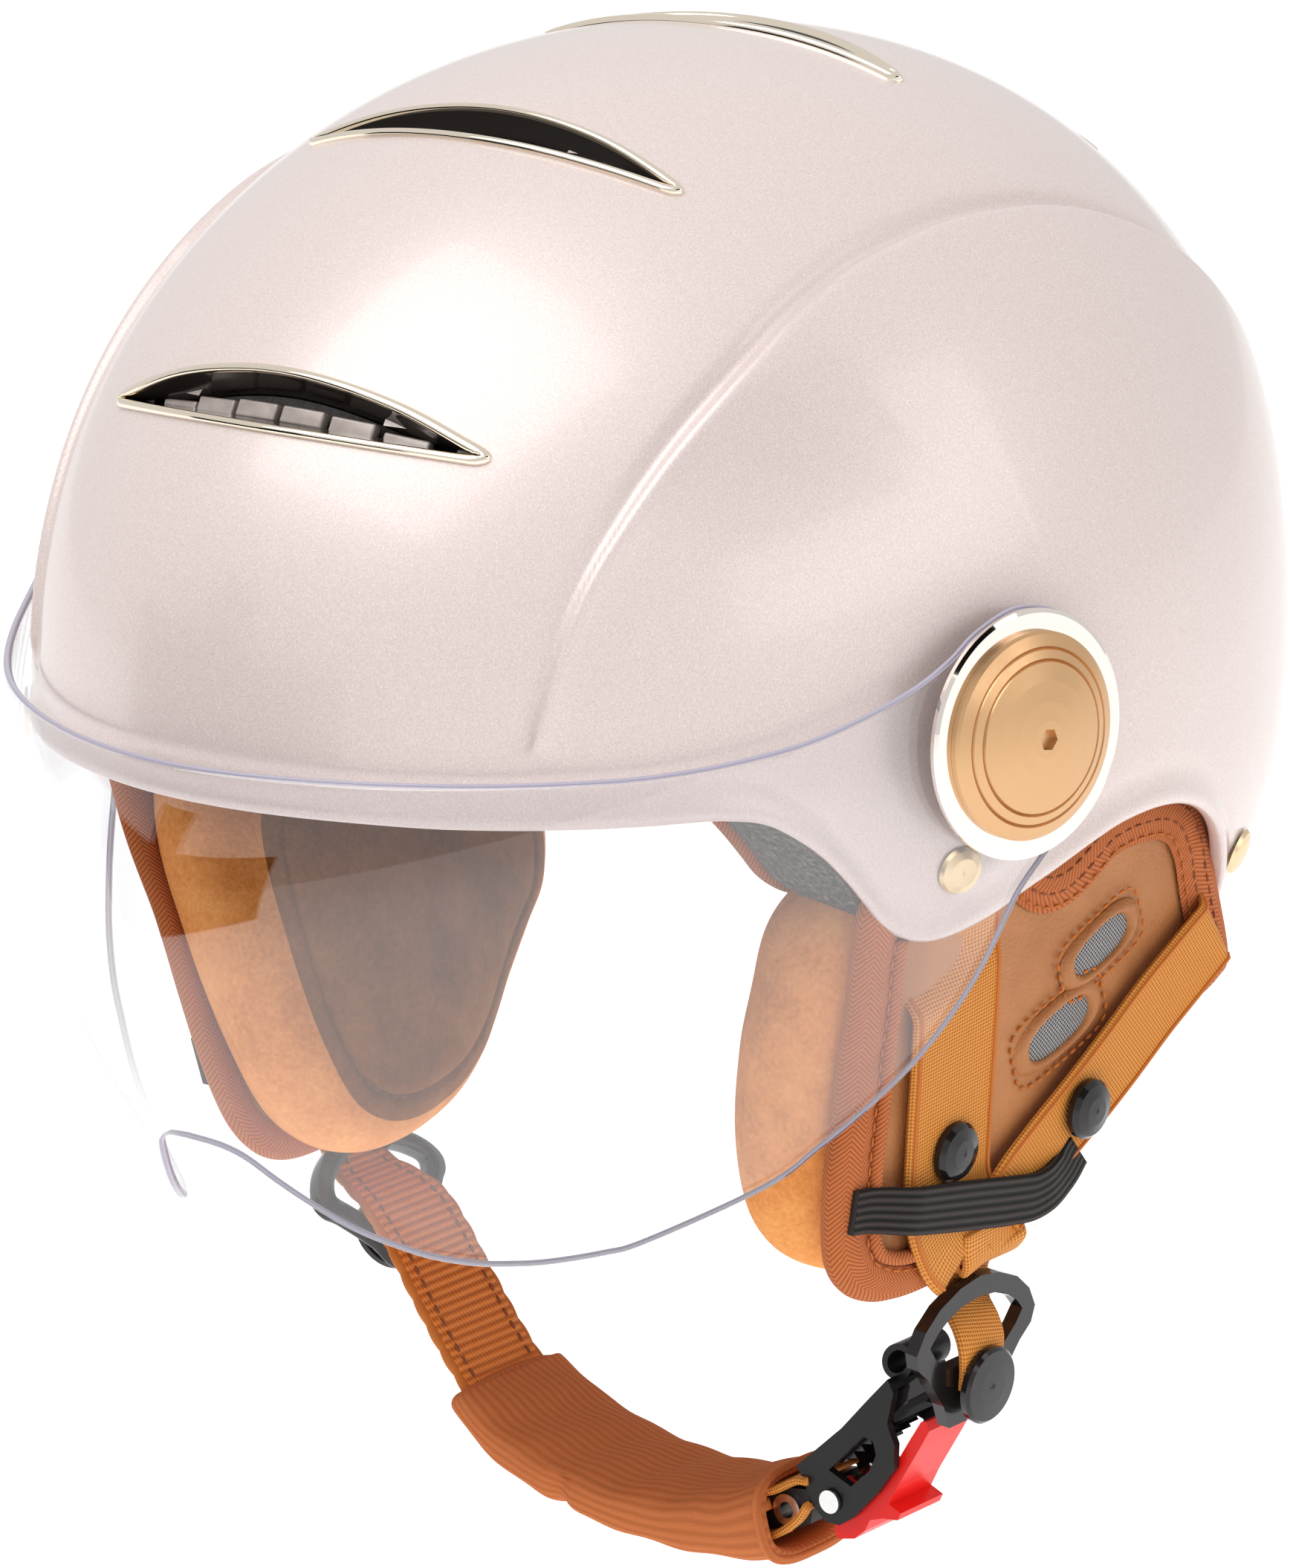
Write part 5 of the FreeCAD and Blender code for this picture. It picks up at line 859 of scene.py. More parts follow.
def build_cover(side):
    w = WORD[side]
    flip = side < 0
    n = 260
    O = curve(COVER, n, True)
    cen = np.array([22.0, -70.0])
    # leather panel
    ks = np.r_[np.linspace(0.02, 0.9, 26), 0.94, 0.97, 0.99]
    inner = shrink(O, 2.0)
    G = np.zeros((len(ks), n, 3))
    for i, k in enumerate(ks):
        q = cen + (inner - cen) * k
        crown = 1.5 * (1 - k ** 3) + 0.25 * np.sin(q[:, 0] * 0.19 + q[:, 1] * 0.11) * (1 - k) - 0.4 * smooth(0.9, 1.0, k)
        G[i] = np.stack([cover_x(q[:, 0], q[:, 1]) - 0.9 + crown, q[:, 0], q[:, 1]], 1)
    back = np.zeros((3, n, 3))
    for i, k in enumerate((0.99, 0.6, 0.02)):
        q = cen + (inner - cen) * k
        back[i] = np.stack([cover_x(q[:, 0], q[:, 1]) - 4.6, q[:, 0], q[:, 1]], 1)
    P = hand(np.concatenate([G, back], 0), side)
    ob = grid("ear_leather_" + w, P, "leather", cj=True, flip=flip, caps=True)
    finish_piece(ob, "helmet", ("ear_cover_" + w,))
    # bound edge: wide on the outer face along the top and back, narrower elsewhere
    In = inward(O)
    wide = 5.6 + 6.0 * smooth(0, 30, O[:, 0]) * smooth(-84, -70, O[:, 1]) + 1.4 * (1 - smooth(-22, -8, O[:, 0]))
    wide = np.convolve(np.r_[wide[-8:], wide, wide[:8]], np.ones(17) / 17, "valid")
    prof = [(1.0, 0.55, 1), (0.86, 0.85, 1), (0.5, 0.95, 1), (0.22, 0.80, 1), (0.0, 0.3, 0), (0.0, -0.7, 0.9), (0.0, -2.3, 1.55), (0.0, -3.9, 0.9), (0.08, -4.9, 0), (0.5, -5.1, 0), (0.9, -5.0, 0)]
    G = np.zeros((n, len(prof), 3))
    for j, (f, dx, o) in enumerate(prof):
        out = 0 if j < 4 else o
        q = O + In * (wide * f)[:, None] - In * (out if j >= 4 else 0)
        ripple = 0.10 * np.sin(np.arange(n) * 0.9) if j in (1, 2, 3) else 0
        xx = cover_x(q[:, 0], q[:, 1]) + dx + ripple + (0.35 * math.sin(pi * min(1, 1 - f)) if j < 4 else 0)
        G[:, j] = np.stack([xx, q[:, 0], q[:, 1]], 1)
    ob = grid("ear_binding_" + w, hand(G, side), "binding", ci=True, flip=not flip)
    finish_piece(ob, "helmet", ("ear_piping_" + w,))
    # rolled cord seen along the front edge, inside the binding
    front = (O[:, 0] < 4) & (O[:, 1] < -38)
    idx = np.where(front)[0]
    if len(idx):
        runs = np.split(idx, np.where(np.diff(idx) > 1)[0] + 1)
        run = max(runs, key=len)
        q = O[run] + In[run] * 8.2
        path = hand(np.stack([cover_x(q[:, 0], q[:, 1]) + 1.0, q[:, 0], q[:, 1]], 1), side)
        ob = tube("ear_cord_" + w, path, 1.5, "binding", flip=flip)
        finish_piece(ob, "helmet")
    # two rows of stitches on the wide band and one on the narrow part
    for r, (f, mname) in enumerate(((0.30, "thread_dark"), (0.62, "thread_dark"), (0.88, "thread"))):
        sel = np.where(wide > 8.2)[0] if r < 2 else np.arange(n)
        if len(sel) < 8:
            continue
        runs = np.split(sel, np.where(np.diff(sel) > 1)[0] + 1)
        if r < 2 and len(runs) > 1 and sel[0] == 0 and sel[-1] == n - 1:
            runs = [np.r_[runs[-1], runs[0]]] + runs[1:-1]
        for ri, run in enumerate(runs):
            if len(run) < 6:
                continue
            q = O[run] + In[run] * (wide[run] * f)[:, None]
            path = hand(np.stack([cover_x(q[:, 0], q[:, 1]) + 1.28, q[:, 0], q[:, 1]], 1), side)
            nv = hand(np.tile([1.0, 0, 0], (len(run), 1)), 1) * side
            ob = stitches("ear_seam_%s_%d_%d" % (w, r, ri), path, nv, mname, closed=(r == 2), r=0.22)
            finish_piece(ob, "helmet")
    # openings with mesh, a rolled leather lip and a boxed seam
    eyes = []
    for k, (cy, cz, ry, rz, rot) in enumerate(((42.0, -55.4, 9.6, 4.5, 0.42), (30.4, -70.6, 10.6, 4.7, 0.36))):
        a = np.linspace(0, 2 * pi, 72, endpoint=False)
        er = np.abs(np.cos(a)) ** 2.5 + np.abs(np.sin(a)) ** 2.5
        e = np.stack([ry * np.cos(a) / er ** 0.4, rz * np.sin(a) / er ** 0.4], 1)
        R = np.array([[math.cos(rot), -math.sin(rot)], [math.sin(rot), math.cos(rot)]])
        e = e @ R.T
        top = lambda q, dx: np.stack([cover_x(q[:, 0], q[:, 1]) + 0.65 + dx, q[:, 0], q[:, 1]], 1)
        c2 = np.array([cy, cz])
        D = np.stack([top(c2 + e * s, dx) for s, dx in ((0.02, 0.75), (0.3, 0.72), (0.6, 0.62), (0.85, 0.45), (1.0, 0.2))], 0)
        ob = grid("ear_eye_%s_%d" % (w, k), hand(D, side), "mesh_cloth", cj=True, flip=flip, caps=True,
                  uvs=np.stack([np.stack([e[:, 0] * s, e[:, 1] * s], 1) for s in (0.02, 0.3, 0.6, 0.85, 1.0)], 0))
        finish_piece(ob, "helmet", ("ear_mesh_" + w,) if k == 0 else ())
        L = []
        for s, dx in ((0.90, 0.15), (0.93, 0.95), (1.02, 1.45), (1.14, 1.35), (1.26, 0.75), (1.34, 0.0)):
            q = c2 + e * s
            L.append(top(q, dx))
        ob = grid("ear_eye_lip_%s_%d" % (w, k), hand(np.stack(L, 1), side), "leather", ci=True, flip=not flip)
        finish_piece(ob, "helmet")
        box = np.stack([1.36 * ry * np.sign(np.cos(a)) * np.abs(np.cos(a)) ** 0.42, 1.62 * rz * np.sign(np.sin(a)) * np.abs(np.sin(a)) ** 0.42], 1) @ R.T
        ob = stitches("ear_eye_seam_%s_%d" % (w, k), hand(top(c2 + box, 0.62), side), np.array([side * 1.0, 0, 0]), "thread", pitch=2.6, long=1.9, closed=True, r=0.34)
        finish_piece(ob, "helmet")


def strap_x(y, z, rise, start):
    e = curve(EDGE, 900)
    gap = np.asarray(z, float) - np.interp(y, e[:, 0], e[:, 1])
    f = smooth(-19, -5, gap)
    return (cover_x(y, z) + 0.7 + rise) * (1 - f) + np.minimum(shell_x(y, z, 3.9) - 2.2, cover_x(y, z) + rise) * f


def surface_strap(name, stations, rise, start, width, side, replaces, thick=1.7, mat="webbing"):
    """Webbing laid over the ear cover along (y, z) stations."""
    mid = curve(stations, 120)
    T = tangents(mid)
    A = np.stack([-T[:, 1], T[:, 0]], 1)
    k = 13
    u = np.linspace(-1, 1, k)
    W = np.broadcast_to(np.asarray(width, float), (len(mid),))
    q = mid[:, None] + A[:, None] * (u[None, :, None] * (W / 2)[:, None, None])
    x0 = strap_x(q[..., 0], q[..., 1], rise, start)
    top = np.stack([x0 + thick / 2, q[..., 0], q[..., 1]], -1)
    low = np.stack([x0 - thick / 2, q[..., 0], q[..., 1]], -1)
    e0 = (top[:, :1] + low[:, :1]) / 2 - np.concatenate([np.zeros((len(mid), 1, 1)), A[:, None]], 2) * thick * 0.45
    e1 = (top[:, -1:] + low[:, -1:]) / 2 + np.concatenate([np.zeros((len(mid), 1, 1)), A[:, None]], 2) * thick * 0.45
    G = np.concatenate([top, e1, low[:, ::-1], e0], 1)
    ob = grid(name, hand(G, side), mat, cj=True, caps=True, flip=side > 0)
    finish_piece(ob, "helmet", replaces)
    for s, tag in ((-0.93, "a"), (0.93, "b")):
        qe = mid + A * (W / 2 * s)[:, None]
        path = np.stack([strap_x(qe[:, 0], qe[:, 1], rise, start) + thick / 2 + 0.05, qe[:, 0], qe[:, 1]], 1)
        # selvedge cord
        ob2 = tube(name + "_edge_" + tag, hand(path, side), 0.42, "thread", k=8, flip=side < 0)
        finish_piece(ob2, "helmet")
    return ob


def build_straps(side):
    w = WORD[side]
    # the elastic and rear strap reach the front strap under the elastic
    surface_strap("strap_front_" + w, [(-10.4, -19.5), (-10.0, -26.3), (-6.5, -34), (-4.7, -43), (-3.9, -56), (-3.6, -70), (-3.4, -84), (-2.6, -97), (1.6, -106), (5.5, -110.0)],
                  1.5, -40.0, 24.5, side, ("front_strap_" + w,))
    rear = [(92.5, -36), (86.5, -49), (80, -57.4), (68, -65.6), (58, -72.2), (47, -80.5), (36, -88.2), (26, -94.6), (17.5, -100.6), (13, -105.5)]
    wid = 15.5 + 1.5 * np.sin(np.linspace(0, pi, 120))
    surface_strap("strap_rear_" + w, rear, 3.0, -60.0, wid, side, ("rear_strap_" + w,))
    # ribbed elastic
    mid = curve([(-29.5, -95.0), (-24, -95.6), (-12, -97.8), (2, -100.4), (14, -102.6), (22, -103.4), (31.0, -101.0), (35.5, -97.5)], 90)
    T = tangents(mid)
    A = np.stack([-T[:, 1], T[:, 0]], 1)
    k = 11
    u = np.linspace(-1, 1, k)
    ww = 9.2 + 1.2 * np.sin(np.linspace(0, pi, 90))
    q = mid[:, None] + A[:, None] * (u[None, :, None] * (ww / 2)[:, None, None])
    under = smooth(-27, -16, mid[:, 0]) * (1 - 0.5 * smooth(24, 36, mid[:, 0]))
    x0 = cover_x(q[..., 0], q[..., 1]) + 2.0 + 4.1 * under[:, None]
    th = 1.5
    top = np.stack([x0 + th / 2, q[..., 0], q[..., 1]], -1)
    low = np.stack([x0 - th / 2, q[..., 0], q[..., 1]], -1)
    G = np.concatenate([top, low[:, ::-1]], 1)
    ob = grid("elastic_" + w, hand(G, side), "elastic", cj=True, caps=True, flip=side > 0)
    finish_piece(ob, "helmet", ("elastic_band_" + w,))


def build_pad(side):
    """Suede cushion behind the ear cover, with a seam round its face."""
    w = WORD[side]
    n = 190
    O = curve(SUEDE_OUT, n, True)
    cen = O.mean(0)
    rows = [(0.05, -5.2), (0.5, -5.2), (0.86, -5.4), (0.94, -6.6), (0.985, -9.5), (1.0, -13.5), (1.0, -18), (0.99, -23), (0.96, -27.5), (0.915, -30.8), (0.86, -33.0), (0.80, -34.3),
            (0.775, -34.3), (0.765, -33.4), (0.755, -34.4), (0.72, -35.6), (0.62, -37.0), (0.48, -38.2), (0.30, -39.0), (0.12, -39.3), (0.01, -39.4)]
    R = curve([(a * 40, b) for a, b in rows], 84)
    G = np.zeros((len(R), n, 3))
    for i, (k, dx) in enumerate(R):
        k = k / 40
        q = cen + (O - cen) * k
        soft = 0.55 * np.sin(q[:, 0] * 0.12 + dx * 0.2) * np.sin(q[:, 1] * 0.10 + 1.3) * smooth(0.0, 0.5, k)
        bulge = 1.4 * np.exp(-((dx + 18) / 8.0) ** 2)
        q = q - inward(O) * bulge * (k > 0.6)
        G[i] = np.stack([cover_x(q[:, 0], q[:, 1]) + dx + soft, q[:, 0], q[:, 1]], 1)
    return G, O, cen


def pad_piece(side):
    w = WORD[side]
    G, O, cen = build_pad(side)
    ob = grid("ear_cushion_" + w, hand(G, side), ["suede", "suede_painted_shade"], cj=True, caps=True, flip=side > 0)
    # faces more than 32.6 mm deep (the inner face, towards the head) take the darker suede copy: painted shade
    cut = np.array([G[i, :, 0].mean() for i in range(len(G))]) - float(cover_x(22, -70)) < -32.6
    per = np.repeat(cut[:-1], G.shape[1]).astype(int)
    idx = np.r_[per, [0, 1]]
    ob.data.polygons.foreach_set("material_index", idx[:len(ob.data.polygons)].tolist())
    puff(ob, lambda q: np.abs(q[:, 0]) > np.abs(hand(np.stack([cover_x(q[:, 1], q[:, 2]), q[:, 1], q[:, 2]], 1), side)[:, 0]) - 11)
    finish_piece(ob, "helmet", ("ear_pad_" + w,))
    q = cen + (O - cen) * 0.765
    path = np.stack([cover_x(q[:, 0], q[:, 1]) - 33.7, q[:, 0], q[:, 1]], 1)
    s = stitches("ear_cushion_seam_" + w, hand(path, side), np.array([-1.0 * side, 0, 0]), "thread_dark", pitch=2.8, closed=True, r=0.3)
    finish_piece(s, "helmet")
    return ob


def puff(ob, pin, voxel=5.0, pressure=4.0, frames=18, cap=2.2):
    """Swells a cushion with a short cloth run on a coarse copy, then carries the movement over to the real mesh.
    pin(co) gives, for points in millimetres, which ones are sewn down."""
    sc = bpy.context.scene
    src = bpy.data.objects.new("swell_source", ob.data.copy())
    sc.collection.objects.link(src)
    rm = src.modifiers.new("remesh", "REMESH")
    rm.mode, rm.voxel_size = "VOXEL", voxel * 0.001
    bpy.context.view_layer.update()
    me = bpy.data.meshes.new_from_object(src.evaluated_get(bpy.context.evaluated_depsgraph_get()))
    bpy.data.objects.remove(src)
    sim = bpy.data.objects.new("swell_cloth", me)
    sc.collection.objects.link(sim)
    rest = np.array([v.co for v in me.vertices], float)
    vg = sim.vertex_groups.new(name="pin")
    vg.add([int(i) for i in np.where(pin(rest * 1000))[0]], 1.0, "REPLACE")
    cl = sim.modifiers.new("cloth", "CLOTH")
    cl.settings.quality = 6
    cl.settings.mass = 0.25
    cl.settings.tension_stiffness = cl.settings.compression_stiffness = 22
    cl.settings.bending_stiffness = 0.8
    cl.settings.use_pressure = True
    cl.settings.uniform_pressure_force = pressure
    cl.settings.vertex_group_mass = "pin"
    cl.settings.effector_weights.gravity = 0
    cl.point_cache.frame_start, cl.point_cache.frame_end = 1, frames
    for f in range(1, frames + 1):
        sc.frame_set(f)
    out = bpy.data.meshes.new_from_object(sim.evaluated_get(bpy.context.evaluated_depsgraph_get()))
    moved = np.array([v.co for v in out.vertices], float) - rest
    size = np.linalg.norm(moved, axis=1, keepdims=True)
    moved *= np.minimum(1, cap * 0.001 / np.maximum(size, 1e-9))
    bpy.data.objects.remove(sim)
    sc.frame_set(1)
    co = np.array([v.co for v in ob.data.vertices], float)
    new = co.copy()
    for part in np.array_split(np.arange(len(co)), max(1, len(co) // 2500)):
        D = ((co[part, None] - rest[None]) ** 2).sum(2)
        k = np.argpartition(D, 6, axis=1)[:, :6]
        w = 1 / (np.take_along_axis(D, k, 1) + 1e-6)
        new[part] += (moved[k] * w[..., None]).sum(1) / w.sum(1)[:, None]
    ob.data.vertices.foreach_set("co", new.ravel().tolist())
    ob.data.update()


# ------------------------------------------------------------------ lining and neck roll


def build_lining():
    na, ne = 260, 90
    A = np.linspace(-pi, pi, na, endpoint=False)
    E0 = edge_elevation(A, INNER_EDGE, 34.0)
    t = np.linspace(1, 0, ne)
    Eg = E0[None] + (pi / 2 - E0[None]) * t[:, None]
    G, d = shell_at(np.broadcast_to(A, Eg.shape), Eg, 38.5)
    # quilted panels: soft channels along the head and one round it
    az = np.abs(((A / (pi / 5)) % 1) - 0.5)[None] * 2
    seam = np.exp(-((1 - az) / 0.07) ** 2) * (1 - smooth(0.93, 1.0, t))[:, None] + np.exp(-((t - 0.16) / 0.018) ** 2)[:, None]
    puff = -1.6 * np.clip(seam, 0, 1)
    G = G - d * (-puff)[..., None] * -1 * 1.0
    base, de = G[-1], d[-1]
    down = unit(G[-1] - G[-3])
    rr = 3.2
    rows = [base + de * rr - rr * (math.cos(f) * de - math.sin(f) * down) for f in np.linspace(0, pi, 10)[1:]]
    Ei = E0[None] + (pi / 2 - E0[None]) * np.linspace(0.02, 1, 30)[:, None]
    I, _ = shell_at(np.broadcast_to(A, Ei.shape), Ei, 32.6)
    P = np.concatenate([G, np.array(rows), I], 0)
    ob = grid("head_lining", P, "lining", cj=True, flip=True)
    finish_piece(ob, "helmet", ("comfort_liner",))
    # bound hem of the lining
    hem = G[-1] + de * rr + down * rr * 1.0
    ob = tube("head_lining_hem", hem, 1.6, "band", closed=True)
    finish_piece(ob, "helmet")


def build_temples():
    e = curve(EDGE, 900)
    for side in (1, -1):
        w = WORD[side]
        y = np.linspace(-66, -4, 70)
        z = np.interp(y, e[:, 0], e[:, 1]) + 1.3
        xo = shell_x(y, z, 4.2)
        deep = 25.0 * smooth(-70, -48, y) + 3
        k = 12
        P = np.zeros((len(y), k + 5, 3))
        for j in range(k):
            f = j / (k - 1)
            P[:, j] = np.stack([xo - deep * f, y + 3.5 * f, z + 1.2 * math.sin(pi * f) * -1 + 2.4 * f * f], 1)
        for j, up in enumerate((3, 8, 14)):
            P[:, k + j] = P[:, k - 1] + [0, 1.2, up]
        P[:, k + 3] = P[:, 0] + [-2.0, 0, 15]
        P[:, k + 4] = P[:, 0] + [0, 0, 5]
        Q = P.copy()
        Q[..., 0] *= side
        ob = grid("temple_foam_" + w, Q, "foam", cj=True, caps=True, flip=side < 0)
        finish_piece(ob, "helmet")
        path = Q[:, k - 1] + [0, 0, 0.6]
        ob = tube("temple_band_" + w, path, 2.1, "band")
        finish_piece(ob, "helmet")


def build_neck_roll():
    A = np.linspace(math.radians(112), math.radians(248), 90)
    P, d = shell_at(A, np.full(A.shape, -0.36), 4.0)
    f = np.sin(np.linspace(0, pi, 90)) ** 0.25
    mid = P - d * 13.5
    mid[:, 2] = -56.0
    a = np.linspace(0, 2 * pi, 40, endpoint=False)
    T = tangents(mid)
    U = np.tile([0, 0, 1.0], (len(mid), 1))
    S = np.cross(T, U)
    r = 10.5 * np.maximum(f, 0.25)
    dent = 1 - 0.05 * np.cos(np.linspace(0, 16 * pi, 90))
    G = mid[:, None] + (np.cos(a)[None, :, None] * S[:, None] * (r * 1.05 * dent)[:, None, None]) + (np.sin(a)[None, :, None] * U[:, None] * (r * 0.92 * dent)[:, None, None])
    ob = grid("neck_cushion", G, "lining", cj=True, caps=True)
    finish_piece(ob, "helmet", ("neck_roll",))

# ------------------------------------------------------------------ chin strap, rings, buckle webbing


def loop_piece(name, at, ax, up, out, body, node):
    """Black strap ring: a rounded loop with a wider top bar and a plate at its foot."""
    lo = [(-15.5, 0), (-19, 3), (-20, 6.5), (-17.5, 11), (-13, 14.8), (-6.5, 17.6), (0, 18.6), (6.5, 17.6), (13, 14.8), (17.5, 11), (20, 6.5), (19, 3), (15.5, 0),
          (9.5, -7.5), (7, -13), (0, -14.2), (-7, -13), (-9.5, -7.5)]
    li = [(-13.4, 4), (-15.6, 7), (-13.2, 9.6), (-10, 11.6), (-5.4, 13.4), (0, 14), (5.4, 13.4), (10, 11.6), (13.2, 9.6), (15.6, 7), (13.4, 4), (9.4, 0.8), (0, 0.4), (-9.4, 0.8)]
    n = 132
    O, I = curve(lo, n, True), curve(li, n, True)
    # start both at the same place
    I = np.roll(I, -int(np.argmin(np.linalg.norm(I - O[0] * 0.72, axis=1))), 0)
    t = 2.0
    rows = []
    for f, h in ((0.0, -0.55), (-0.0, 0.55), (0.03, 0.82), (0.10, 1.0), (0.30, 1.08), (0.5, 1.1), (0.7, 1.08), (0.90, 1.0), (0.97, 0.82), (1.0, 0.55), (1.0, -0.55), (0.97, -0.82), (0.90, -1.0), (0.5, -1.0), (0.10, -1.0), (0.03, -0.82)):
        q = O * (1 - f) + I * f
        rows.append(np.concatenate([q, np.full((n, 1), h * t)], 1))
    L = np.stack(rows, 1)
    P = at + L[..., :1] * ax + L[..., 1:2] * up + L[..., 2:] * out
    ob = grid(name, P, "ring_black", ci=True, cj=True)
    return finish_piece(ob, body, (node,))


def cord_tail(name, mid, across, width, thick, body, node, start=None):
    ob = strap(name, curve(mid, 110), across, width, thick, "webbing", k=13)
    if start is None:
        return finish_piece(ob, body, (node,))
    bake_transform(ob)
    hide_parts(node)
    return ob


def build_tails():
    mid = [(101.2, 12, -106.6), (100.4, 12.6, -110.2), (99.4, 14.0, -113.8), (97.9, 15.6, -115.8), (95.4, 16, -117.4), (92.6, 16, -118.6), (91.3, 15.5, -120.9),
           (91.4, 15, -124.4), (92.7, 14, -127.2), (95.4, 13.4, -130.6), (97.0, 13, -134.2), (97.0, 13, -138.3), (96.4, 13, -143)]
    w = np.interp(np.linspace(0, 1, 110), [0, 0.2, 0.35, 0.5, 0.65, 0.8, 1], [19.5, 17.5, 15.8, 14.6, 14.2, 14.4, 13])
    cord_tail("tail_left", mid, (0, 1, 0), w, 1.9, "tongue_body", "strap_tail_left", start=(0.1, 0.0125, -0.1086))
    # gathers where the webbing folds into the ring
    for k, (dy, s) in enumerate(((-5.2, 0.7), (-1.6, 1.0), (2.4, 0.9), (5.6, 0.7))):
        path = curve([(100.9, 12.4 + dy, -111.8), (98.9, 15.0 + dy * 0.8, -115.2), (96.6, 16.6 + dy * 0.6, -117.2)], 18)
        ob = tube("tail_gather_left_%d" % k, path, 0.8 * s * np.sin(np.linspace(0.25, pi - 0.25, 18)), "webbing", k=10)
        finish_piece(ob, "helmet")
    d = hand(np.array([[float(cover_x(6, -110.5)) + 3.1, 6, -108.0]]), -1)[0]
    at, ax, up = np.array([-63.5, 15.0, -136.5]), np.array([0, -1.0, 0]), unit((-0.62, 0, 0.80))
    out = np.cross(ax, up)
    loc = lambda a, b, c: at + a * ax + b * up + c * out
    pts = [d, (-73.2, 8.5, -114.6), loc(0, 21.6, 1.2), loc(0, 16, 3.4), loc(0, 9, 3.4)]
    w = np.interp(np.linspace(0, 1, 110), [0, 0.3, 0.6, 1], [20, 17.5, 15.5, 13.5])
    cord_tail("tail_right", pts, (0, 1, 0), w, 1.9, "helmet", "strap_tail_right")


def chin_path():
    return curve([(-73.8, 15, -126.5), (-70.6, 15, -129.4), (-66.4, 15, -131.2), (-60.4, 15, -134.2), (-53.8, 15, -141), (-46, 15, -152.2), (-36.8, 15, -164.4), (-27.5, 15, -173.6),
                  (-15, 15, -180), (0, 15, -183.4), (16, 15, -184.4), (30, 15, -183.2), (40.5, 15, -180.6), (46.8, 15, -178)], 260)


def build_chin():
    mid = chin_path()
    w = np.interp(lengths(mid), [0, 18, 60, 400], [15, 24, 25, 24.5])
    ob = strap("chin_webbing", mid, (0, 1, 0), w, 2.4, "webbing_rib", k=15)
    finish_piece(ob, "helmet", ("chin_strap",))
    # scalloped, stitched hem on both edges
    T = tangents(mid)
    N = np.cross(np.tile([0, 1.0, 0], (len(mid), 1)), T)
    for s, tag in ((-1, "front"), (1, "rear")):
        L = lengths(mid)
        scal = 0.30 * np.abs(np.sin(L * pi / 6.2))
        e = mid + np.array([0, 1.0, 0]) * (s * (w / 2 - 0.6 + scal))[:, None]
        ob = tube("chin_hem_" + tag, e, 0.95 + 0.15 * np.abs(np.sin(L * pi / 6.2)), "thread", k=12)
        finish_piece(ob, "helmet")
        e2 = mid + np.array([0, 1.0, 0]) * (s * (w / 2 - 3.2))[:, None] - N * 1.3
        ob = stitches("chin_hem_seam_" + tag, e2, -N, "thread_dark", pitch=3.1, long=2.2)
        finish_piece(ob, "helmet")


def build_chin_pad():
    line = [(-33.5, -168, 7.6, 31), (-31, -170.8, 9, 34.5), (-19.5, -178.2, 11, 36), (-2, -183.6, 12, 36), (17, -185.6, 13.4, 34), (34, -184.6, 16, 32), (48.6, -181, 19, 31)]
    L = curve([(x, z, h, w) for x, z, h, w in line], 120)
    mid = np.stack([L[:, 0], np.full(len(L), 15.0), L[:, 1]], 1)
    T = tangents(mid)
    N = np.cross(np.tile([0, 1.0, 0], (len(mid), 1)), T)
    N *= np.where(N[:, 2:] > 0, 1.0, -1.0)
    m = 84
    a = np.linspace(0, 2 * pi, m, endpoint=False)
    s = np.linspace(0, 1, len(L))
    # closed, tapering end on the right; open mouth on the buckle side
    taper = np.clip(1 - (1 - np.clip(s / 0.045, 0, 1)) ** 2, 0, 1) ** 0.5
    e = 0.62
    cx = np.sign(np.cos(a)) * np.abs(np.cos(a)) ** e
    sx = np.sign(np.sin(a)) * np.abs(np.sin(a)) ** e
    fold = np.exp(-(((s[:, None] - 0.50 - 0.10 * cx[None]) / 0.030)) ** 2) * (sx[None] < 0.55)
    G = np.zeros((len(L), m, 3))
    hw = L[:, 3] / 2 * (0.45 + 0.55 * taper)
    hh = L[:, 2] / 2 * (0.5 + 0.5 * taper)
    ripple = 0.35 * np.sin(s[:, None] * 34 + a[None] * 2)
    G = mid[:, None] + np.array([0, 1.0, 0]) * (hw[:, None] * cx[None] * (1 - 0.10 * fold))[..., None] + N[:, None] * ((hh[:, None] + ripple) * sx[None] * (1 - 0.28 * fold))[..., None]
    # mouth turns in and runs back into the sleeve
    inn = []
    for k, (f, back) in enumerate(((0.94, 0.9), (0.84, 1.0), (0.76, -0.6), (0.72, -6.0), (0.68, -18.0), (0.5, -26.0))):
        c = mid[-1] + T[-1] * back
        ring = c + np.array([0, 1.0, 0]) * (hw[-1] * f * cx)[:, None] + N[-1] * ((hh[-1]) * f * sx)[:, None]
        inn.append(ring)
    P = np.concatenate([G, np.array(inn)], 0)
    ob = grid("chin_cushion", P, "corduroy", cj=True, caps=True)
    puff(ob, lambda q: (q[:, 0] > 41) | (q[:, 0] < -29), cap=1.6)
    finish_piece(ob, "helmet", ("chin_pad",))
    lip = mid[-1] + T[-1] * 0.5 + np.array([0, 1.0, 0]) * (hw[-1] * 0.99 * cx)[:, None] + N[-1] * (hh[-1] * 0.99 * sx)[:, None]
    ob = tube("chin_cushion_hem", lip, 1.0, "corduroy", closed=True)
    finish_piece(ob, "helmet")
    # webbing that folds round the bracket and shows in the mouth
    for sgn, tag in ((1, "upper"), (-1, "lower")):
        pts = [(30, 15, -184 + 4.0 * sgn), (40, 15, -181.5 + 4.6 * sgn), (48, 15, -179.6 + 4.9 * sgn), (54.5, 15, -175.5 + 4.4 * sgn), (57.5, 15, -173.2 + 2.6 * sgn)]
        ob = strap("bracket_webbing_" + tag, curve(pts, 60), (0, 1, 0), 22.0, 1.7, "webbing", k=13)
        finish_piece(ob, "helmet")


# ------------------------------------------------------------------ more materials

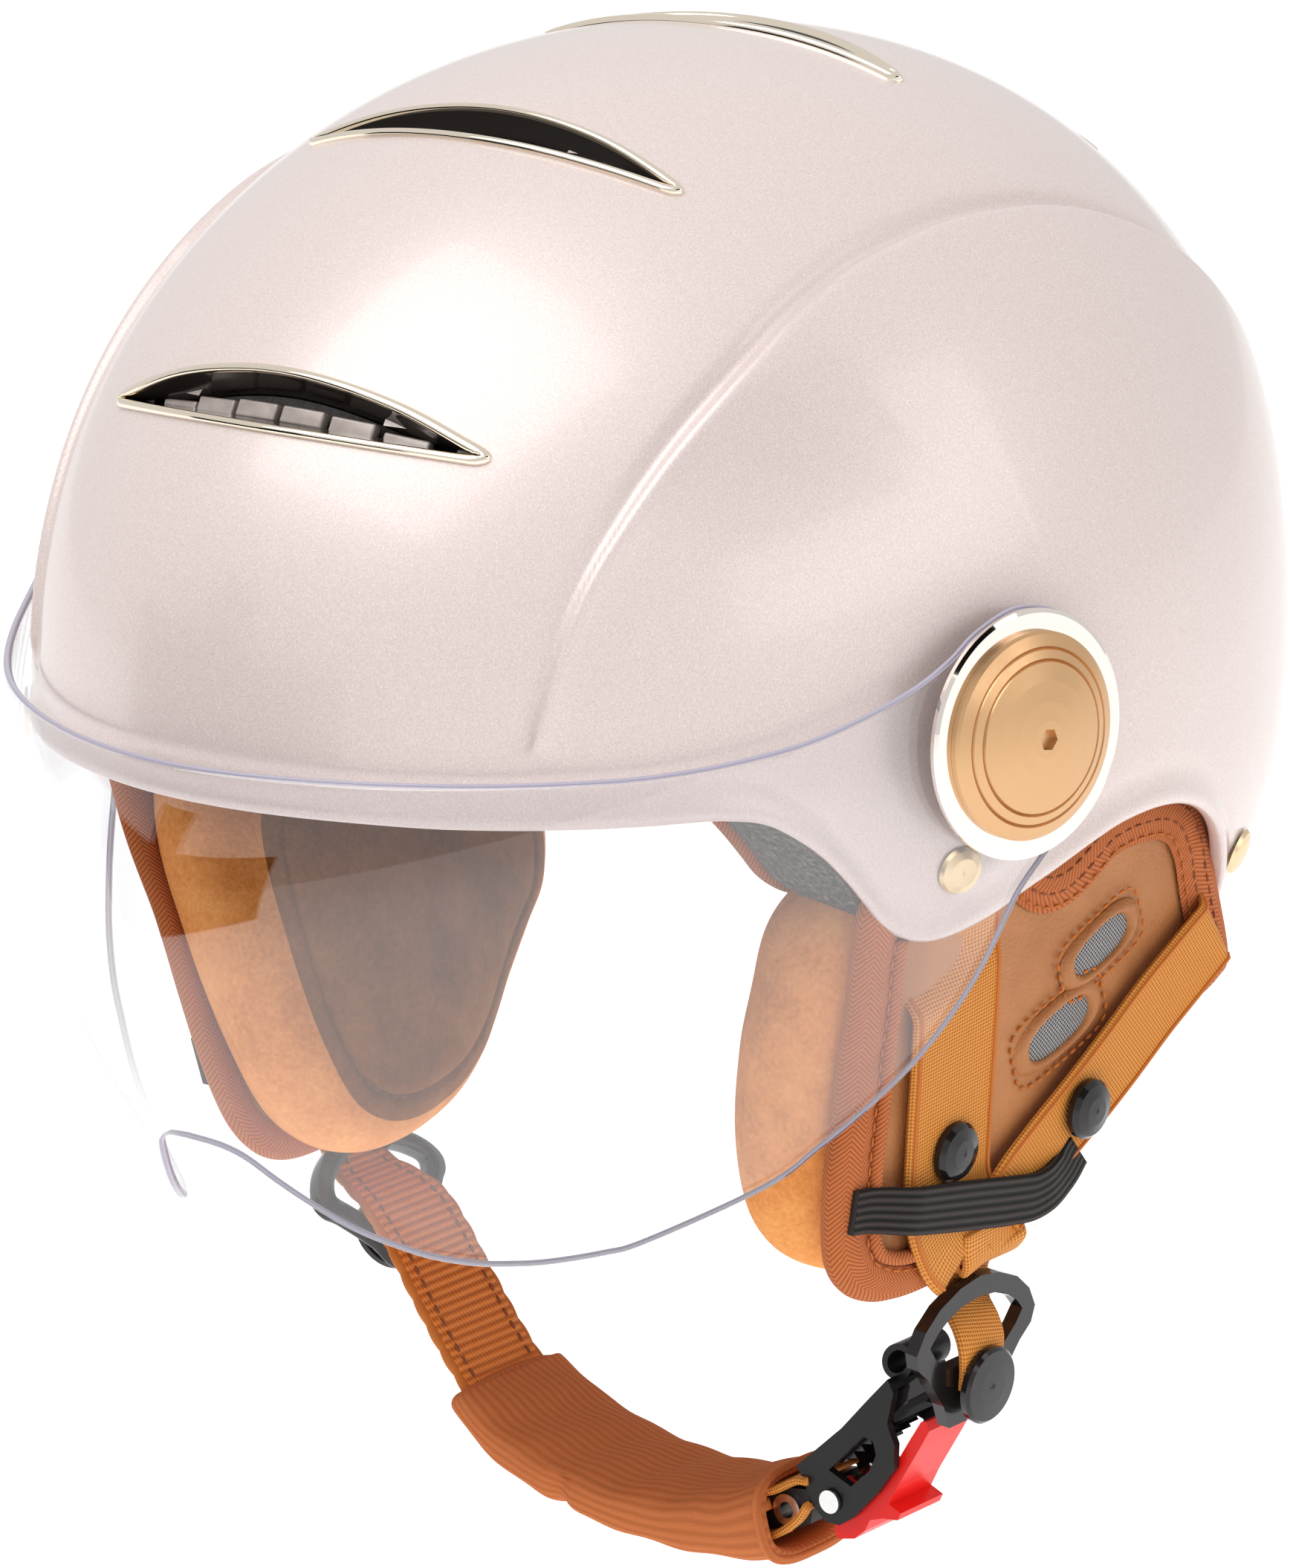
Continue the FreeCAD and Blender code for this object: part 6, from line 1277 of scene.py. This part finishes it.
p = Mat("grille", (0.42, 0.36, 0.33), 0.35, 0.35, Coat_Weight=0.4, Coat_Roughness=0.1)
p.color(p.ramp(p.noise(300, 3.0), [(0.3, (0.36, 0.30, 0.27)), (0.7, (0.46, 0.40, 0.37))]))
p = Mat("duct", (0.030, 0.024, 0.021), 0.5, 0.0)
p.color(p.ramp(p.noise(900, 3.0), [(0.35, (0.018, 0.014, 0.012)), (0.7, (0.055, 0.045, 0.040))]))
p = Mat("ring_black", (0.013, 0.010, 0.010), 0.16, 0.0, Specular_IOR_Level=0.3, Coat_Weight=0.25, Coat_Roughness=0.04)
p.rough(p.math("MULTIPLY_ADD", p.noise(300, 3.0), 0.12, 0.10))

# ------------------------------------------------------------------ build it

build_shell()
build_bezels()
build_grille()
build_visor()
for sd in (1, -1):
    build_cover(sd)
    build_straps(sd)
    pad_piece(sd)
build_lining()
build_neck_roll()
build_temples()
Yv = np.array([0, 1.0, 0])
loop_piece("ring_left", np.array([93.8, 13, -138.3]), Yv, unit((0.10, 0, 1)), unit(np.cross(Yv, unit((0.10, 0, 1)))), "tongue_body", "strap_ring_left") if "strap_ring_left" in NODES else None
r_up = unit((-0.62, 0, 0.80))
loop_piece("ring_right", np.array([-63.5, 15, -136.5]), -Yv, r_up, unit(np.cross(-Yv, r_up)), "helmet", "strap_ring_right") if "strap_ring_right" in NODES else None
build_tails()
build_chin()
build_chin_pad()

# ------------------------------------------------------------------ CAD nodes that stay: finishes and softened edges

KEEP = {
    "impact_liner": ("foam", 0.0), "visor_ring_left": ("ring_chrome", 0.0), "visor_ring_right": ("ring_chrome", 0.0),
    "pivot_cap_left": ("gold", 0.0), "pivot_cap_right": ("gold", 0.0), "pivot_nut_left": ("steel", 0.15), "pivot_nut_right": ("steel", 0.15),
    "pivot_post_left": ("steel", 0.1), "pivot_post_right": ("steel", 0.1), "pivot_washer_left": ("black_plastic", 0.1), "pivot_washer_right": ("black_plastic", 0.1),
    "strap_rivets_left": ("brass", 0.1), "strap_rivets_right": ("brass", 0.1), "strap_snaps_left": ("black_gloss", 0.15), "strap_snaps_right": ("black_gloss", 0.15),
    "strap_ring_cap_left": ("ring_black", 0.2), "strap_ring_cap_right": ("ring_black", 0.2), "buckle_receiver": ("black_plastic", 0.5), "strap_bracket": ("black_plastic", 0.4),
    "buckle_lever": ("red_plastic", 0.5), "lever_pin": ("steel", 0.1), "lever_spring": ("steel", 0.0), "bracket_eyelet": ("steel", 0.2),
    "buckle_tongue": ("ring_black", 0.5), "webbing_keeper": ("black_plastic", 0.4),
}
print("NODES", sorted(NODES))
for name, ob in NODES.items():
    if name in KEEP:
        mat, bev = KEEP[name]
        ob.data.materials.clear()
        ob.data.materials.append(MATS[mat])
        ob.data.polygons.foreach_set("use_smooth", [True] * len(ob.data.polygons))
        ob.data.set_sharp_from_angle(angle=math.radians(32))
        if bev:
            b = ob.modifiers.new("soft edges", "BEVEL")
            b.width = bev * 0.001
            b.segments = 3
            b.limit_method = "ANGLE"
            b.angle_limit = math.radians(32)
            b.harden_normals = True

# ------------------------------------------------------------------ floor, light and camera


def area(name, where, target, sx, sy, power, color=(1, 1, 1)):
    d = bpy.data.lights.new(name, "AREA")
    d.shape, d.size, d.size_y = "RECTANGLE", sx, sy
    d.energy, d.color = power, color
    o = bpy.data.objects.new(name, d)
    bpy.context.scene.collection.objects.link(o)
    o.location = where
    o.rotation_euler = (Vector(target) - Vector(where)).to_track_quat("-Z", "Y").to_euler()
    return o


def card(name, V, color, rough=0.9):
    me = bpy.data.meshes.new(name)
    me.from_pydata(V, [], [tuple(range(len(V)))])
    m = Mat(name, color, rough, 0.0, Specular_IOR_Level=0.0)
    me.materials.append(m.m)
    o = bpy.data.objects.new(name, me)
    bpy.context.scene.collection.objects.link(o)
    return o, m


# MATS holds Mat wrappers by datablock
floor, _m = card("floor", [(-12, -12, -0.62), (12, -12, -0.62), (12, 12, -0.62), (-12, 12, -0.62)], (0.90, 0.90, 0.90))
_m.set("Emission Color", (1, 1, 1, 1))
_m.set("Emission Strength", 0.40)

world = bpy.data.worlds.new("studio")
bpy.context.scene.world = world
world.use_nodes = True
bgn = world.node_tree.nodes["Background"]
bgn.inputs[0].default_value = (1.0, 0.995, 0.99, 1)
bgn.inputs[1].default_value = 0.74

# black and white boards out of view, for the dark bands in the chrome and the broad lights in the lacquer
TARGET = (0, 0.03, -0.03)
area("key_top", (-0.35, -1.15, 2.35), TARGET, 2.6, 2.2, 47)
area("side_left", (2.2, 0.25, 1.0), TARGET, 2.0, 1.3, 12)
card("flag_side", [(1.25, -0.45, 0.55), (1.25, 0.30, 0.55), (1.02, 0.30, 1.05), (1.02, -0.45, 1.05)], (0.004, 0.004, 0.004))
card("board_low", [(0.05, -2.70, -0.62), (-2.00, -1.10, -0.62), (-2.00, -1.10, 0.32), (0.05, -2.70, 0.32)], (0.006, 0.006, 0.006))
card("flag_front", [(-1.05, -1.35, 0.15), (-0.70, -1.55, 0.15), (-0.70, -1.55, 0.62), (-1.05, -1.35, 0.62)], (0.004, 0.004, 0.004))

bpy.context.scene.view_settings.view_transform = "Standard"
bpy.context.scene.view_settings.look = "None"
bpy.context.scene.view_settings.exposure = 0.0

az, el, rho = math.radians(40.183), math.radians(14.261), math.radians(-1.4385)
r = np.array([math.cos(az), math.sin(az), 0])
u = np.array([-math.sin(az) * math.sin(el), math.cos(az) * math.sin(el), math.cos(el)])
b = np.array([math.sin(az) * math.cos(el), -math.cos(az) * math.cos(el), math.sin(el)])
r2, u2 = r * math.cos(rho) + u * math.sin(rho), -r * math.sin(rho) + u * math.cos(rho)
fpx, tx, ty = 10665.83, 750.158, 872.995
F = unit(-b + r2 * (868 - tx) / fpx - u2 * (1055 - ty) / fpx)
back = -F
right = unit(np.cross(u2, back))
upc = np.cross(back, right)
cam_data = bpy.data.cameras.new("camera")
cam_data.lens, cam_data.sensor_width, cam_data.clip_start, cam_data.clip_end = 181.98, 36.0, 0.1, 60
cam = bpy.data.objects.new("camera", cam_data)
bpy.context.scene.collection.objects.link(cam)
M = Matrix.Identity(4)
for i in range(3):
    M[i][0], M[i][1], M[i][2], M[i][3] = right[i], upc[i], back[i], b[i] * 1.62641
cam.matrix_world = M
bpy.context.scene.camera = cam
